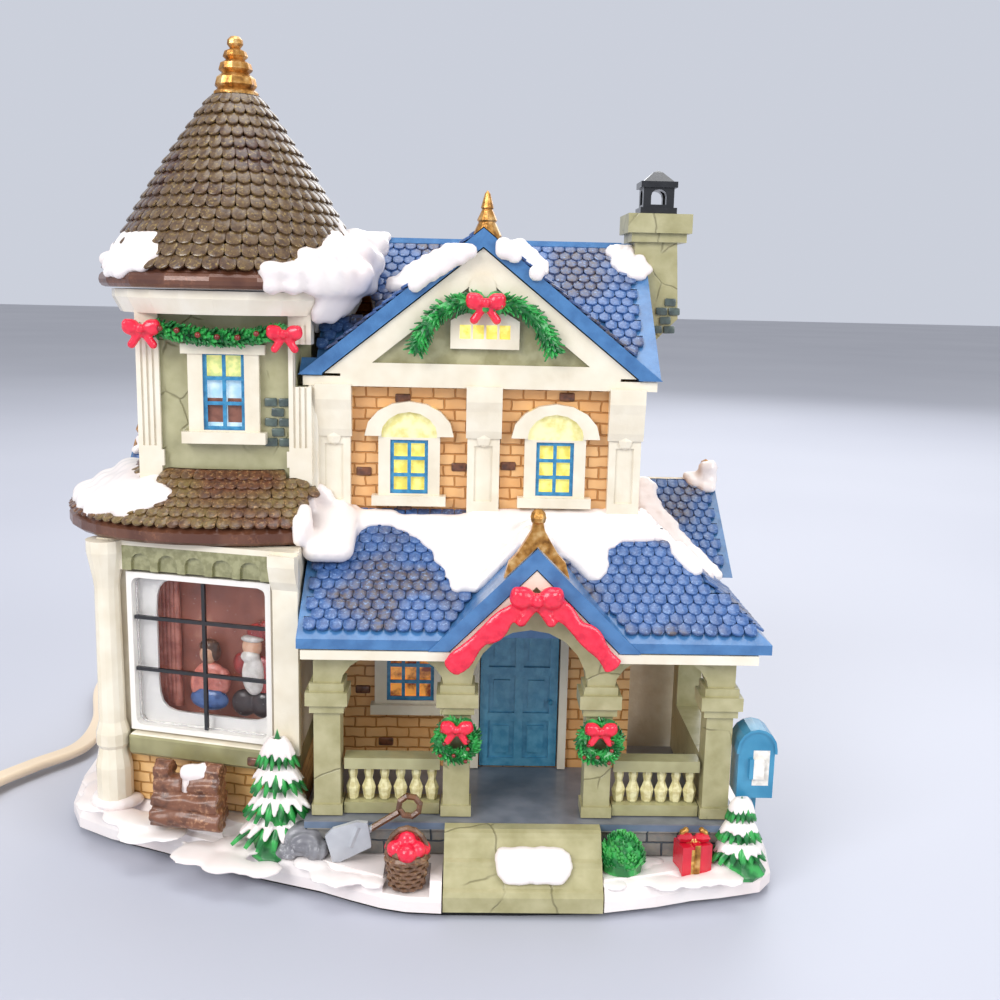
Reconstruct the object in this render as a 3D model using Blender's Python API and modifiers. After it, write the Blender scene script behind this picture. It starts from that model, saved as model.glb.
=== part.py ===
# Lit porcelain village house on a snowy slab, in metres, +Z up, front towards -Y.
import math

import bmesh
import bpy
from mathutils import Matrix, Vector

# Clearance between pieces that touch
CLEARANCE = 0.0003

# Snowy slab: hand-chosen shore line, pad, yard and terrace levels
SHORE = [
    (-0.0928, -0.0099), (-0.0865, -0.0294), (-0.0650, -0.0407), (-0.0508, -0.0471),
    (-0.0344, -0.0550), (-0.0191, -0.0607), (-0.0042, -0.0679), (0.0106, -0.0702),
    (0.0483, -0.0692), (0.0693, -0.0637), (0.0819, -0.0608), (0.0906, -0.0545),
    (0.0930, -0.0250), (0.0926, 0.0350), (0.0870, 0.0624), (0.0600, 0.0694),
    (-0.0300, 0.0696), (-0.0800, 0.0654), (-0.0918, 0.0480), (-0.0930, 0.0200),
]
PAD_HEIGHT = 0.0015
PAD_INSET = 0.965
YARD_HEIGHT = 0.0085
YARD_ROUNDING = 0.0040
TERRACE_HEIGHT = 0.0120
TERRACE_INSET = 0.960

# Main block
WALL = 0.0035
MAIN_LEFT = -0.0240
MAIN_RIGHT = 0.0585
MAIN_FRONT = -0.0230
MAIN_BACK = 0.0470
ROOF_THICKNESS = 0.0035
ROOF_RIDGE_Z = 0.1560
ROOF_EAVE_Z = 0.1226
ROOF_OVERHANG_SIDE = 0.0038
ROOF_OVERHANG_FRONT = 0.0045
GABLE_APEX_Z = 0.1586
RIDGE_CAP = 0.0016
VERGE_LAP = 0.0004
CORNICE_BOTTOM_Z = 0.1195
CORNICE_PROUD = 0.0040
PEDIMENT_FRAME = 0.0052
PEDIMENT_RECESS = 0.0012
PILASTER_WIDTH = 0.0082
PILASTER_PROUD = 0.0023
CONSOLE_HEIGHT = 0.0127
CONSOLE_PROUD = 0.0026
LAMP_HOLE_RADIUS = 0.0160
GARDEN_LEFT = -0.0450
GARDEN_MARGIN = 0.0012
BEDDED = 0.0040
BASKET_X = 0.0018
BASKET_Y = -0.0645
BASKET_RADIUS = 0.0052
BASKET_BOTTOM_Z = 0.0058
BASKET_HEIGHT = 0.0085
PANEL_LIFT = 0.0028
FRIEZE_ARCHES = 5
CROSSBAR_SHARES = (0.38, 0.735)
SKIRT_TOP_SHARE = 0.46
LAMP_X = 0.0035
LAMP_Z = 0.0420

# Openings in the front of the main block
WINDOW_LEFT_X = -0.0006
WINDOW_RIGHT_X = 0.0365
SASH_WIDTH = 0.0096
SASH_HEIGHT = 0.0138
SASH_BOTTOM_Z = 0.0922
WINDOW_FRAME = 0.0030
WINDOW_HOOD = 0.0034
SASH_BAR = 0.0009
PANE_THICKNESS = 0.0008
DOOR_X = 0.0290
DOOR_WIDTH = 0.0206
DOOR_HEIGHT = 0.0405
DOOR_FRAME = 0.0024
DOOR_THICKNESS = 0.0022
PORCH_WINDOW_X = 0.0002
PORCH_WINDOW_WIDTH = 0.0124
PORCH_WINDOW_HEIGHT = 0.0190
PORCH_WINDOW_BOTTOM_Z = 0.0365
ATTIC_WIDTH = 0.0171
ATTIC_HEIGHT = 0.0091
ATTIC_BOTTOM_Z = 0.1293

# Porch
PORCH_FLOOR_Z = 0.0175
PORCH_FRONT = -0.0530
POST_WIDTH = 0.0064
POST_LEFTS = [-0.0214, 0.0097, 0.0439, 0.0730]
ARCH_SPRING_Z = 0.0505
SIDE_ARCH_TOP_Z = 0.0590
ENTRY_ARCH_TOP_Z = 0.0650
CAPITAL_BOTTOM_Z = 0.0440
CAPITAL_OVERHANG = 0.0018
PORCH_EAVE_Z = 0.0609
PORCH_RIDGE_Z = 0.0870
PORCH_BACK = -0.0080
EAVE_THICKNESS = 0.0024
EAVE_OVERHANG = 0.0040
PORCH_RIGHT_OVERHANG = 0.0072
PORCH_GABLE_APEX_Z = 0.0857
PORCH_GABLE_X = 0.0308
PORCH_GABLE_PROUD = 0.0006
PORCH_GABLE_BAND = 0.0034
FASCIA_HEIGHT = 0.0022
RAIL_TOP_Z = 0.0320
RAIL_DEPTH = 0.0048
RAIL_HEIGHT = 0.0028
BALUSTER_RADIUS = 0.0017
BALUSTERS = 6
STEP_LEFT = 0.0104
STEP_RIGHT = 0.0477
STEP_FRONT = -0.0696
STEPS = 3
PLINTH_OVERHANG = 0.0020
NOSING = 0.0010
NOSING_HEIGHT = 0.0022

# Bays at the two sides
RIGHT_BAY_RIGHT = 0.0820
RIGHT_BAY_FRONT = -0.0040
RIGHT_BAY_BACK = 0.0540
RIGHT_BAY_RIDGE_Z = 0.0895
RIGHT_BAY_EAVE_Z = 0.0670
LEFT_BAY_LEFT = -0.0840
LEFT_BAY_FRONT = 0.0170
LEFT_BAY_BACK = 0.0600
LEFT_BAY_RIDGE_Z = 0.0960
LEFT_BAY_EAVE_Z = 0.0730
BAY_OVERHANG = 0.0040
BAY_ROOF = 0.0030

# Chimney
CHIMNEY_WIDTH = 0.0126
CHIMNEY_FRONT = 0.0050
CHIMNEY_BACK = 0.0190
CHIMNEY_FOOT_Z = 0.1270
CHIMNEY_CAP_Z = 0.1575
CHIMNEY_TOP_Z = 0.1650
CHIMNEY_CAP_OVERHANG = 0.0024
POT_WIDTH = 0.0100
POT_HEIGHT = 0.0118

# Lower tower, with its front facet turned towards the left
FACET_TURN = math.radians(15)
TOWER_LEFT = -0.0770
TOWER_CORNER_Y = -0.0315
TOWER_BACK = 0.0126
TOWER_WALL = 0.0030
TOWER_RIGHT = -0.0256
FRIEZE_BOTTOM_Z = 0.0740
LOWER_TOP_Z = 0.0816
PICTURE_LEFT = -0.0190
PICTURE_RIGHT = 0.0203
PICTURE_BOTTOM_Z = 0.0318
PICTURE_TOP_Z = 0.0736
SILL_DEPTH = 0.0042
SILL_HEIGHT = 0.0056
LINER_DEPTH = 0.0130
LINER_WALL = 0.0014
LINER_CORNER = 0.0018
GLASS_THICKNESS = 0.0006
BAR_WIDTH = 0.0009
COLUMN_RADIUS = 0.0042

# Skirt roof
SKIRT_CENTRE = (-0.0465, -0.0030)
SKIRT_HALF_WIDTH = 0.0450
SKIRT_HALF_DEPTH = 0.0420
SKIRT_EAVE_Z = 0.0820
SKIRT_TOP_Z = 0.0990
SKIRT_COURSES = 6
COURSE_STEP = 0.0009
RIM_RADIUS = 0.0020

# Upper tower
AXIS_X = -0.0460
AXIS_Y = -0.0080
UPPER_HALF = 0.0200
UPPER_WALL = 0.0030
UPPER_BOTTOM_Z = 0.0880
UPPER_TOP_Z = 0.1362
CORNER_COLUMN = 0.0056
CORNICE_RADIUS = 0.0318
RIM_Z = 0.1444
CONE_RADIUS = 0.0330
CONE_TOP_Z = 0.1901
CONE_TOP_RADIUS = 0.0055
CONE_SWELL = 0.0012
CONE_COURSES = 15
FINIAL_HEIGHT = 0.0146
TOWER_WINDOW_WIDTH = 0.0102
TOWER_WINDOW_BOTTOM_Z = 0.1082
TOWER_WINDOW_HEIGHT = 0.0193

# Lamp, its cord and its bulb
SOCKET_RADIUS = 0.0105
SOCKET_LENGTH = 0.0300
SOCKET_INSIDE = 0.0230
SOCKET_WALL = 0.0022
BULB_RADIUS = 0.0110
BULB_LENGTH = 0.0380
BULB_BASE_RADIUS = 0.0058
BULB_BASE_LENGTH = 0.0150
FLANGE_RADIUS = 0.0190
FLANGE_THICKNESS = 0.0012
CLIP_WING = 0.0045
GRIP_LENGTH = 0.0080
CORD_WIDTH = 0.0056
COIL_CENTRE = (-0.1680, -0.0220)
COIL_OUTER = 0.0400
COIL_TURNS_PER_LAYER = 4
COIL_LAYERS = 2
COIL_TURNS = 7.5
COIL_START = math.radians(-25)
COIL_GAP = 0.0009
POINTS_PER_TURN = 24
TAIL_LENGTH = 0.0260
PLUG_LENGTH = 0.0260
PLUG_WIDTH = 0.0180
PLUG_HEIGHT = 0.0120
BLADE_LENGTH = 0.0158
BLADE_WIDTH = 0.0063
BLADE_THICKNESS = 0.0015

# Colours: sRGB value, roughness, metallic
CREAM = ("cream", (0.93, 0.90, 0.80), 0.25, 0.0)
SNOW = ("snow", (0.95, 0.93, 0.92), 0.30, 0.0)
BRICK = ("brick", (0.85, 0.60, 0.35), 0.35, 0.0)
SAGE = ("sage", (0.66, 0.65, 0.48), 0.35, 0.0)
ROOF_BLUE = ("roof blue", (0.17, 0.32, 0.50), 0.35, 0.0)
DOOR_BLUE = ("door blue", (0.16, 0.50, 0.65), 0.35, 0.0)
SASH_BLUE = ("sash blue", (0.25, 0.55, 0.75), 0.35, 0.0)
BRONZE = ("bronze", (0.33, 0.20, 0.13), 0.40, 0.2)
GOLD = ("gold", (0.72, 0.52, 0.25), 0.35, 0.8)
SLATE = ("slate", (0.30, 0.36, 0.42), 0.50, 0.0)
BLACK = ("black", (0.03, 0.03, 0.04), 0.40, 0.0)
RED = ("red", (0.80, 0.05, 0.12), 0.35, 0.0)
GREEN = ("green", (0.12, 0.45, 0.16), 0.45, 0.0)
BARK = ("bark", (0.42, 0.27, 0.18), 0.60, 0.0)
FELT = ("felt", (0.02, 0.02, 0.02), 0.95, 0.0)
CLEAR = ("clear", (0.90, 0.95, 0.97), 0.05, 0.0)
IVORY = ("ivory", (0.90, 0.86, 0.74), 0.45, 0.0)
BRASS = ("brass", (0.78, 0.62, 0.32), 0.30, 1.0)
STEEL = ("steel", (0.70, 0.71, 0.73), 0.30, 1.0)
WARM_GLASS = ("warm glass", (0.98, 0.90, 0.70), 0.10, 0.0)

for old in list(bpy.data.objects):
    bpy.data.objects.remove(old)

HOUSE = bpy.data.collections.new("christmas_village_house")
bpy.context.scene.collection.children.link(HOUSE)
WORKBENCH = bpy.data.collections.new("workbench")
bpy.context.scene.collection.children.link(WORKBENCH)


# Basic shapes
def placed(name, mesh, matrix=None):
    """A mesh as an object on the workbench."""
    shape = bpy.data.objects.new(name, mesh)
    WORKBENCH.objects.link(shape)
    if matrix is not None:
        shape.matrix_world = matrix
    return shape


def from_bmesh(bm, name="shape"):
    bmesh.ops.recalc_face_normals(bm, faces=bm.faces)
    mesh = bpy.data.meshes.new(name)
    bm.to_mesh(mesh)
    bm.free()
    return placed(name, mesh)


def realised(shape):
    """The shape as its modifiers or its curve make it, as one welded mesh in world space."""
    bpy.context.view_layer.update()
    graph = bpy.context.evaluated_depsgraph_get()
    mesh = bpy.data.meshes.new_from_object(shape.evaluated_get(graph))
    mesh.transform(shape.matrix_world)
    bm = bmesh.new()
    bm.from_mesh(mesh)
    bmesh.ops.remove_doubles(bm, verts=bm.verts, dist=1e-6)
    bmesh.ops.recalc_face_normals(bm, faces=bm.faces)
    bm.to_mesh(mesh)
    bm.free()
    solid = placed(shape.name, mesh)
    bpy.data.objects.remove(shape)
    return solid


def block(across, deep, high, turn=None):
    """A box between pairs of limits along X, Y and Z."""
    bm = bmesh.new()
    size = Vector((across[1] - across[0], deep[1] - deep[0], high[1] - high[0]))
    centre = Vector((sum(across), sum(deep), sum(high))) / 2
    bmesh.ops.create_cube(bm, size=1)
    bmesh.ops.transform(bm, matrix=Matrix.Diagonal((*size, 1)), verts=bm.verts)
    if turn is not None:
        bmesh.ops.transform(bm, matrix=turn, verts=bm.verts)
    bmesh.ops.translate(bm, vec=centre, verts=bm.verts)
    return from_bmesh(bm)


def ball(centre, radii, segments=10, rings=6):
    bm = bmesh.new()
    bmesh.ops.create_uvsphere(bm, u_segments=segments, v_segments=rings, radius=1)
    bmesh.ops.transform(bm, matrix=Matrix.Diagonal((*radii, 1)), verts=bm.verts)
    bmesh.ops.translate(bm, vec=centre, verts=bm.verts)
    return from_bmesh(bm)


FACING = {
    "XZ": Matrix.Rotation(math.pi / 2, 4, "X"),
    "YZ": Matrix(((0, 0, 1, 0), (1, 0, 0, 0), (0, 1, 0, 0), (0, 0, 0, 1))),
    "XY": Matrix.Identity(4),
}
ACROSS = {"XZ": Vector((0, 1, 0)), "YZ": Vector((1, 0, 0)), "XY": Vector((0, 0, 1))}


def plate(plane, limits, outline, *holes):
    """A flat outline with holes, drawn in one plane and as thick as its limits."""
    curve = bpy.data.curves.new("plate", "CURVE")
    curve.dimensions = "2D"
    curve.fill_mode = "BOTH"
    curve.extrude = (limits[1] - limits[0]) / 2
    for ring in (outline, *holes):
        spline = curve.splines.new("POLY")
        spline.points.add(len(ring) - 1)
        for point, (a, b) in zip(spline.points, ring):
            point.co = (a, b, 0, 1)
        spline.use_cyclic_u = True
    middle = ACROSS[plane] * (limits[0] + limits[1]) / 2
    return realised(placed("plate", curve, Matrix.Translation(middle) @ FACING[plane]))


def turned(profile, centre=(0, 0, 0), steps=16, matrix=None):
    """A profile of (radius, height) pairs, turned round the Z axis."""
    mesh = bpy.data.meshes.new("turned")
    points = [(radius, 0, height) for radius, height in profile]
    mesh.from_pydata(points, [(i, i + 1) for i in range(len(points) - 1)], [])
    shape = placed("turned", mesh, Matrix.Translation(centre) @ (matrix or Matrix.Identity(4)))
    screw = shape.modifiers.new("Screw", "SCREW")
    screw.steps = screw.render_steps = steps
    screw.use_merge_vertices = True
    screw.merge_threshold = 1e-6
    return realised(shape)


def tube(points, radius, resolution=1, closed=False):
    curve = bpy.data.curves.new("tube", "CURVE")
    curve.dimensions = "3D"
    curve.bevel_depth = radius
    curve.bevel_resolution = resolution
    curve.use_fill_caps = not closed
    spline = curve.splines.new("POLY")
    spline.points.add(len(points) - 1)
    for point, place in zip(spline.points, points):
        point.co = (*place, 1)
    spline.use_cyclic_u = closed
    return realised(placed("tube", curve))


def combined(operation, first, others):
    """The first shape after a Boolean with all the others, which are used up."""
    group = bpy.data.collections.new("operands")
    for other in others:
        group.objects.link(other)
    boolean = first.modifiers.new("Boolean", "BOOLEAN")
    boolean.operation = operation
    boolean.operand_type = "COLLECTION"
    boolean.collection = group
    boolean.solver = "EXACT"
    solid = realised(first)
    for other in others:
        bpy.data.objects.remove(other)
    bpy.data.collections.remove(group)
    return solid


def joined(first, *others):
    return combined("UNION", first, others)


def cut(first, *others):
    return combined("DIFFERENCE", first, others)


def moved(shape, matrix):
    shape.data.transform(matrix)
    return shape


def rounded(shape, width, segments=2, top_only=False):
    """Rounded edges: all sharp ones, or only those of the top face."""
    bm = bmesh.new()
    bm.from_mesh(shape.data)
    top = max(vertex.co.z for vertex in bm.verts)
    edges = [
        edge for edge in bm.edges
        if edge.calc_face_angle(0) > 0.5
        and (not top_only or all(vertex.co.z > top - 1e-6 for vertex in edge.verts))
    ]
    bmesh.ops.bevel(bm, geom=edges, offset=width, segments=segments, profile=0.5, affect="EDGES")
    bm.to_mesh(shape.data)
    bm.free()
    return shape


def material_of(colour):
    name, rgb, roughness, metallic = colour
    if name in bpy.data.materials:
        return bpy.data.materials[name]
    material = bpy.data.materials.new(name)
    material.use_nodes = True
    linear = [value / 12.92 if value < 0.04045 else ((value + 0.055) / 1.055) ** 2.4 for value in rgb]
    shader = material.node_tree.nodes["Principled BSDF"]
    shader.inputs["Base Color"].default_value = (*linear, 1)
    shader.inputs["Roughness"].default_value = roughness
    shader.inputs["Metallic"].default_value = metallic
    return material


def keep(name, shape, colour, pivot=None):
    """Name a finished piece, colour it and put it in the house's collection."""
    shape.name = name
    shape.data.name = name
    shape.data.materials.clear()
    shape.data.materials.append(material_of(colour))
    shape.data.shade_smooth()
    shape.data.set_sharp_from_angle(angle=math.radians(35))
    if pivot is not None:
        shape.data.transform(Matrix.Translation(-Vector(pivot)))
        shape.location = pivot
    WORKBENCH.objects.unlink(shape)
    HOUSE.objects.link(shape)
    return shape


def copy_of(shape):
    return placed(shape.name, shape.data.copy(), shape.matrix_world)


# Outlines
def smooth_loop(points, steps, closed=True):
    """Points of a Catmull-Rom curve through hand-chosen ones of two or three coordinates."""
    points = [Vector(point) for point in points]
    count = len(points)
    spans = count if closed else count - 1
    smooth = []
    for i in range(spans):
        a = points[i - 1] if closed or i > 0 else points[0] * 2 - points[1]
        b = points[i]
        c = points[(i + 1) % count]
        last = points[-1] * 2 - points[-2]
        d = points[(i + 2) % count] if closed or i + 2 < count else last
        for step in range(steps):
            t = step / steps
            smooth.append(
                (b * 2 + (c - a) * t + (a * 2 - b * 5 + c * 4 - d) * t**2 + (b * 3 - a - c * 3 + d) * t**3) / 2
            )
    if not closed:
        smooth.append(points[-1])
    return [tuple(point) for point in smooth]


def scaled(outline, factor):
    return [(a * factor, b * factor) for a, b in outline]


def rectangle(across, high):
    return [(across[0], high[0]), (across[1], high[0]), (across[1], high[1]), (across[0], high[1])]


def rounded_rectangle(across, high, radius, steps=3):
    outline = []
    for corner, (x, z) in enumerate((
        (across[1] - radius, high[1] - radius), (across[0] + radius, high[1] - radius),
        (across[0] + radius, high[0] + radius), (across[1] - radius, high[0] + radius),
    )):
        for step in range(steps + 1):
            angle = math.pi / 2 * (corner + step / steps)
            outline.append((x + radius * math.cos(angle), z + radius * math.sin(angle)))
    return outline


def arched(centre, half_width, bottom, spring, top, steps=8):
    """A rectangle whose top is half an ellipse."""
    outline = [(centre - half_width, bottom), (centre + half_width, bottom)]
    for step in range(steps + 1):
        angle = math.pi * step / steps
        outline.append(
            (centre + half_width * math.cos(angle), spring + (top - spring) * math.sin(angle))
        )
    return outline


def slope_outline(centre, half_width, foot, apex, drop=0.0, inset=0.0):
    """A gable outline; inset moves its slopes inwards and drop carries its sides down."""
    rise = apex - foot
    slant = math.hypot(half_width, rise)
    lower = inset * slant / half_width
    narrow = inset * slant / rise
    half = half_width - narrow
    outline = [(centre - half, foot), (centre, apex - lower), (centre + half, foot)]
    if drop:
        outline += [(centre + half, foot - drop), (centre - half, foot - drop)]
    return outline


def offset(outline, distance):
    """A convex outline, listed counter-clockwise, with each side moved inwards."""
    corners = [Vector(point) for point in outline]
    moved_corners = []
    for i, corner in enumerate(corners):
        before = (corner - corners[i - 1]).normalized()
        after = (corners[(i + 1) % len(corners)] - corner).normalized()
        inward = Vector((-before.y, before.x))
        bend = before.angle_signed(after)
        moved_corners.append(corner + inward * distance + before * distance * math.tan(bend / 2))
    return [tuple(corner) for corner in moved_corners]


# Slab
def make_slab():
    shore = smooth_loop(SHORE, 2)
    pad = plate("XY", (0, PAD_HEIGHT), scaled(shore, PAD_INSET))
    keep("felt_pad", pad, FELT)
    yard = plate("XY", (PAD_HEIGHT + CLEARANCE, YARD_HEIGHT), shore)
    yard = rounded(yard, YARD_ROUNDING, 2, top_only=True)
    terrace = plate("XY", (YARD_HEIGHT - 0.002, TERRACE_HEIGHT), scaled(shore, TERRACE_INSET))
    terrace = rounded(terrace, (TERRACE_HEIGHT - YARD_HEIGHT) * 0.7, 1, top_only=True)
    below = (YARD_HEIGHT, TERRACE_HEIGHT + 0.01)
    front = block((MAIN_LEFT - CLEARANCE, 0.12), (-0.09, MAIN_FRONT + CLEARANCE), below)
    side = block((MAIN_RIGHT - CLEARANCE, 0.12), (-0.09, PORCH_BACK + CLEARANCE), below)
    garden = block((GARDEN_LEFT, 0.12), (-0.09, FACET_RIGHT_Y - GARDEN_MARGIN), below)
    terrace = cut(terrace, front, side, garden)
    slab = joined(yard, terrace)
    stairwell = block(
        (STEP_LEFT - CLEARANCE, STEP_RIGHT + CLEARANCE),
        (-0.09, PLINTH_FRONT - NOSING),
        (0, YARD_HEIGHT + 0.01),
    )
    basket_seat = block(
        (BASKET_X - BASKET_RADIUS - CLEARANCE, BASKET_X + BASKET_RADIUS + CLEARANCE),
        (-0.09, BASKET_Y + BASKET_RADIUS + CLEARANCE),
        (BASKET_BOTTOM_Z - CLEARANCE, YARD_HEIGHT + 0.01),
    )
    slab = cut(slab, stairwell, basket_seat)
    bed = copy_of(slab)
    keep("snow_base", slab, SNOW)
    grown = 1 + CLEARANCE / abs(SHORE[0][0])
    return moved(bed, Matrix.Translation((0, 0, CLEARANCE)) @ Matrix.Diagonal((grown, grown, 1, 1)))


PLINTH_FRONT = PORCH_FRONT - PLINTH_OVERHANG
PLINTH_RIGHT = POST_LEFTS[-1] + POST_WIDTH + PLINTH_OVERHANG
YARD = YARD_HEIGHT + CLEARANCE
GROUND = TERRACE_HEIGHT + CLEARANCE



def make_plinth():
    """Slate stones of the porch with a thin nosing, L-shaped round the corner of the main block."""

    def floor_outline(grow):
        left = MAIN_LEFT + CLEARANCE * 2
        front = PLINTH_FRONT - grow
        right = PLINTH_RIGHT + grow
        wall = MAIN_FRONT - CLEARANCE
        side = MAIN_RIGHT + CLEARANCE
        back = PORCH_BACK - CLEARANCE
        return [(left, front), (right, front), (right, back), (side, back), (side, wall), (left, wall)]

    stones = plate("XY", (YARD, PORCH_FLOOR_Z - NOSING_HEIGHT + 0.0005), floor_outline(0))
    nosing = plate("XY", (PORCH_FLOOR_Z - NOSING_HEIGHT, PORCH_FLOOR_Z), floor_outline(NOSING))
    keep("porch_plinth", joined(stones, nosing), SLATE)

    back = PLINTH_FRONT - NOSING - CLEARANCE
    tread = (back - STEP_FRONT) / STEPS
    bottom = PAD_HEIGHT + CLEARANCE
    rise = (PORCH_FLOOR_Z - bottom) / STEPS
    nose = rise * 0.3
    profile = [(back, bottom), (STEP_FRONT, bottom)]
    for step in range(STEPS):
        edge = STEP_FRONT + tread * step
        top = bottom + rise * (step + 1)
        profile += [(edge, top - nose), (edge + nose * 0.3, top - nose * 0.3), (edge + nose, top)]
    profile.append((back, bottom + rise * STEPS))
    keep("front_steps", plate("YZ", (STEP_LEFT, STEP_RIGHT), profile), SAGE)


# Main block
ROOF_FRONT = MAIN_FRONT - ROOF_OVERHANG_FRONT
ROOF_BACK = MAIN_BACK + ROOF_OVERHANG_FRONT
ROOF_MIDDLE_Y = (MAIN_FRONT + MAIN_BACK) / 2
ROOF_HALF_DEPTH = (ROOF_BACK - ROOF_FRONT) / 2
MAIN_MIDDLE_X = (MAIN_LEFT + MAIN_RIGHT) / 2
ROOF_LEFT = MAIN_LEFT - ROOF_OVERHANG_SIDE
ROOF_RIGHT = MAIN_RIGHT + ROOF_OVERHANG_SIDE
ROOF_HALF_WIDTH = (ROOF_RIGHT - ROOF_LEFT) / 2
DEEP = 0.03


def cone_radius(share):
    """Share 0 is the top and 1 the eave; the cone swells a little between them."""
    straight = CONE_TOP_RADIUS + (CONE_RADIUS - CONE_TOP_RADIUS) * share
    return straight + CONE_SWELL * math.sin(math.pi * share)


def tower_envelope(grow):
    """The round top of the tower, grown by a clearance, to cut out of the main block."""
    profile = [(0, CONE_TOP_Z)]
    for step in range(5):
        share = step / 4
        z = CONE_TOP_Z - (CONE_TOP_Z - RIM_Z - RIM_RADIUS) * share
        profile.append((cone_radius(share) + grow * 1.5, z + grow))
    profile += [
        (CONE_RADIUS + RIM_RADIUS + grow, RIM_Z + RIM_RADIUS * 0.6),
        (CONE_RADIUS + RIM_RADIUS + grow, UPPER_TOP_Z - grow),
        (0, UPPER_TOP_Z - grow),
    ]
    return turned(profile, (AXIS_X, AXIS_Y, 0), 32)


def lamp_hole(radius):
    return turned(
        [(0, DEEP), (radius, DEEP), (radius, -DEEP / 3), (0, -DEEP / 3)],
        (LAMP_X, MAIN_BACK, LAMP_Z),
        24,
        Matrix.Rotation(-math.pi / 2, 4, "X"),
    )


def wall_opening(centre, width, bottom, height):
    return block(
        (centre - width / 2 - CLEARANCE, centre + width / 2 + CLEARANCE),
        (MAIN_FRONT - WALL, MAIN_FRONT + WALL * 1.5),
        (bottom - CLEARANCE, bottom + height + CLEARANCE),
    )


def gable_wall_outline(inset):
    """End view of the main walls under the roof; inset gives the hollow inside."""
    run = ROOF_HALF_DEPTH
    rise = ROOF_RIDGE_Z - ROOF_EAVE_Z
    under = ROOF_THICKNESS * math.hypot(run, rise) / run + CLEARANCE + VERGE_LAP + inset
    half = ROOF_HALF_DEPTH - ROOF_OVERHANG_FRONT - inset
    shoulder = ROOF_RIDGE_Z - under - rise * half / run
    return [
        (ROOF_MIDDLE_Y - half, GROUND + inset),
        (ROOF_MIDDLE_Y + half, GROUND + inset),
        (ROOF_MIDDLE_Y + half, shoulder),
        (ROOF_MIDDLE_Y, ROOF_RIDGE_Z - under),
        (ROOF_MIDDLE_Y - half, shoulder),
    ]


def make_main_walls():
    walls = plate("YZ", (MAIN_LEFT, MAIN_RIGHT), gable_wall_outline(0))
    hollow = plate("YZ", (MAIN_LEFT + WALL, MAIN_RIGHT - WALL), gable_wall_outline(WALL))
    holes = [
        wall_opening(WINDOW_LEFT_X, SASH_WIDTH, SASH_BOTTOM_Z, SASH_HEIGHT),
        wall_opening(WINDOW_RIGHT_X, SASH_WIDTH, SASH_BOTTOM_Z, SASH_HEIGHT),
        wall_opening(DOOR_X, DOOR_WIDTH, PORCH_FLOOR_Z + CLEARANCE, DOOR_HEIGHT),
        wall_opening(PORCH_WINDOW_X, PORCH_WINDOW_WIDTH, PORCH_WINDOW_BOTTOM_Z, PORCH_WINDOW_HEIGHT),
        lamp_hole(LAMP_HOLE_RADIUS),
    ]
    keep("main_walls", cut(walls, hollow, tower_envelope(CLEARANCE), *holes), BRICK)


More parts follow.
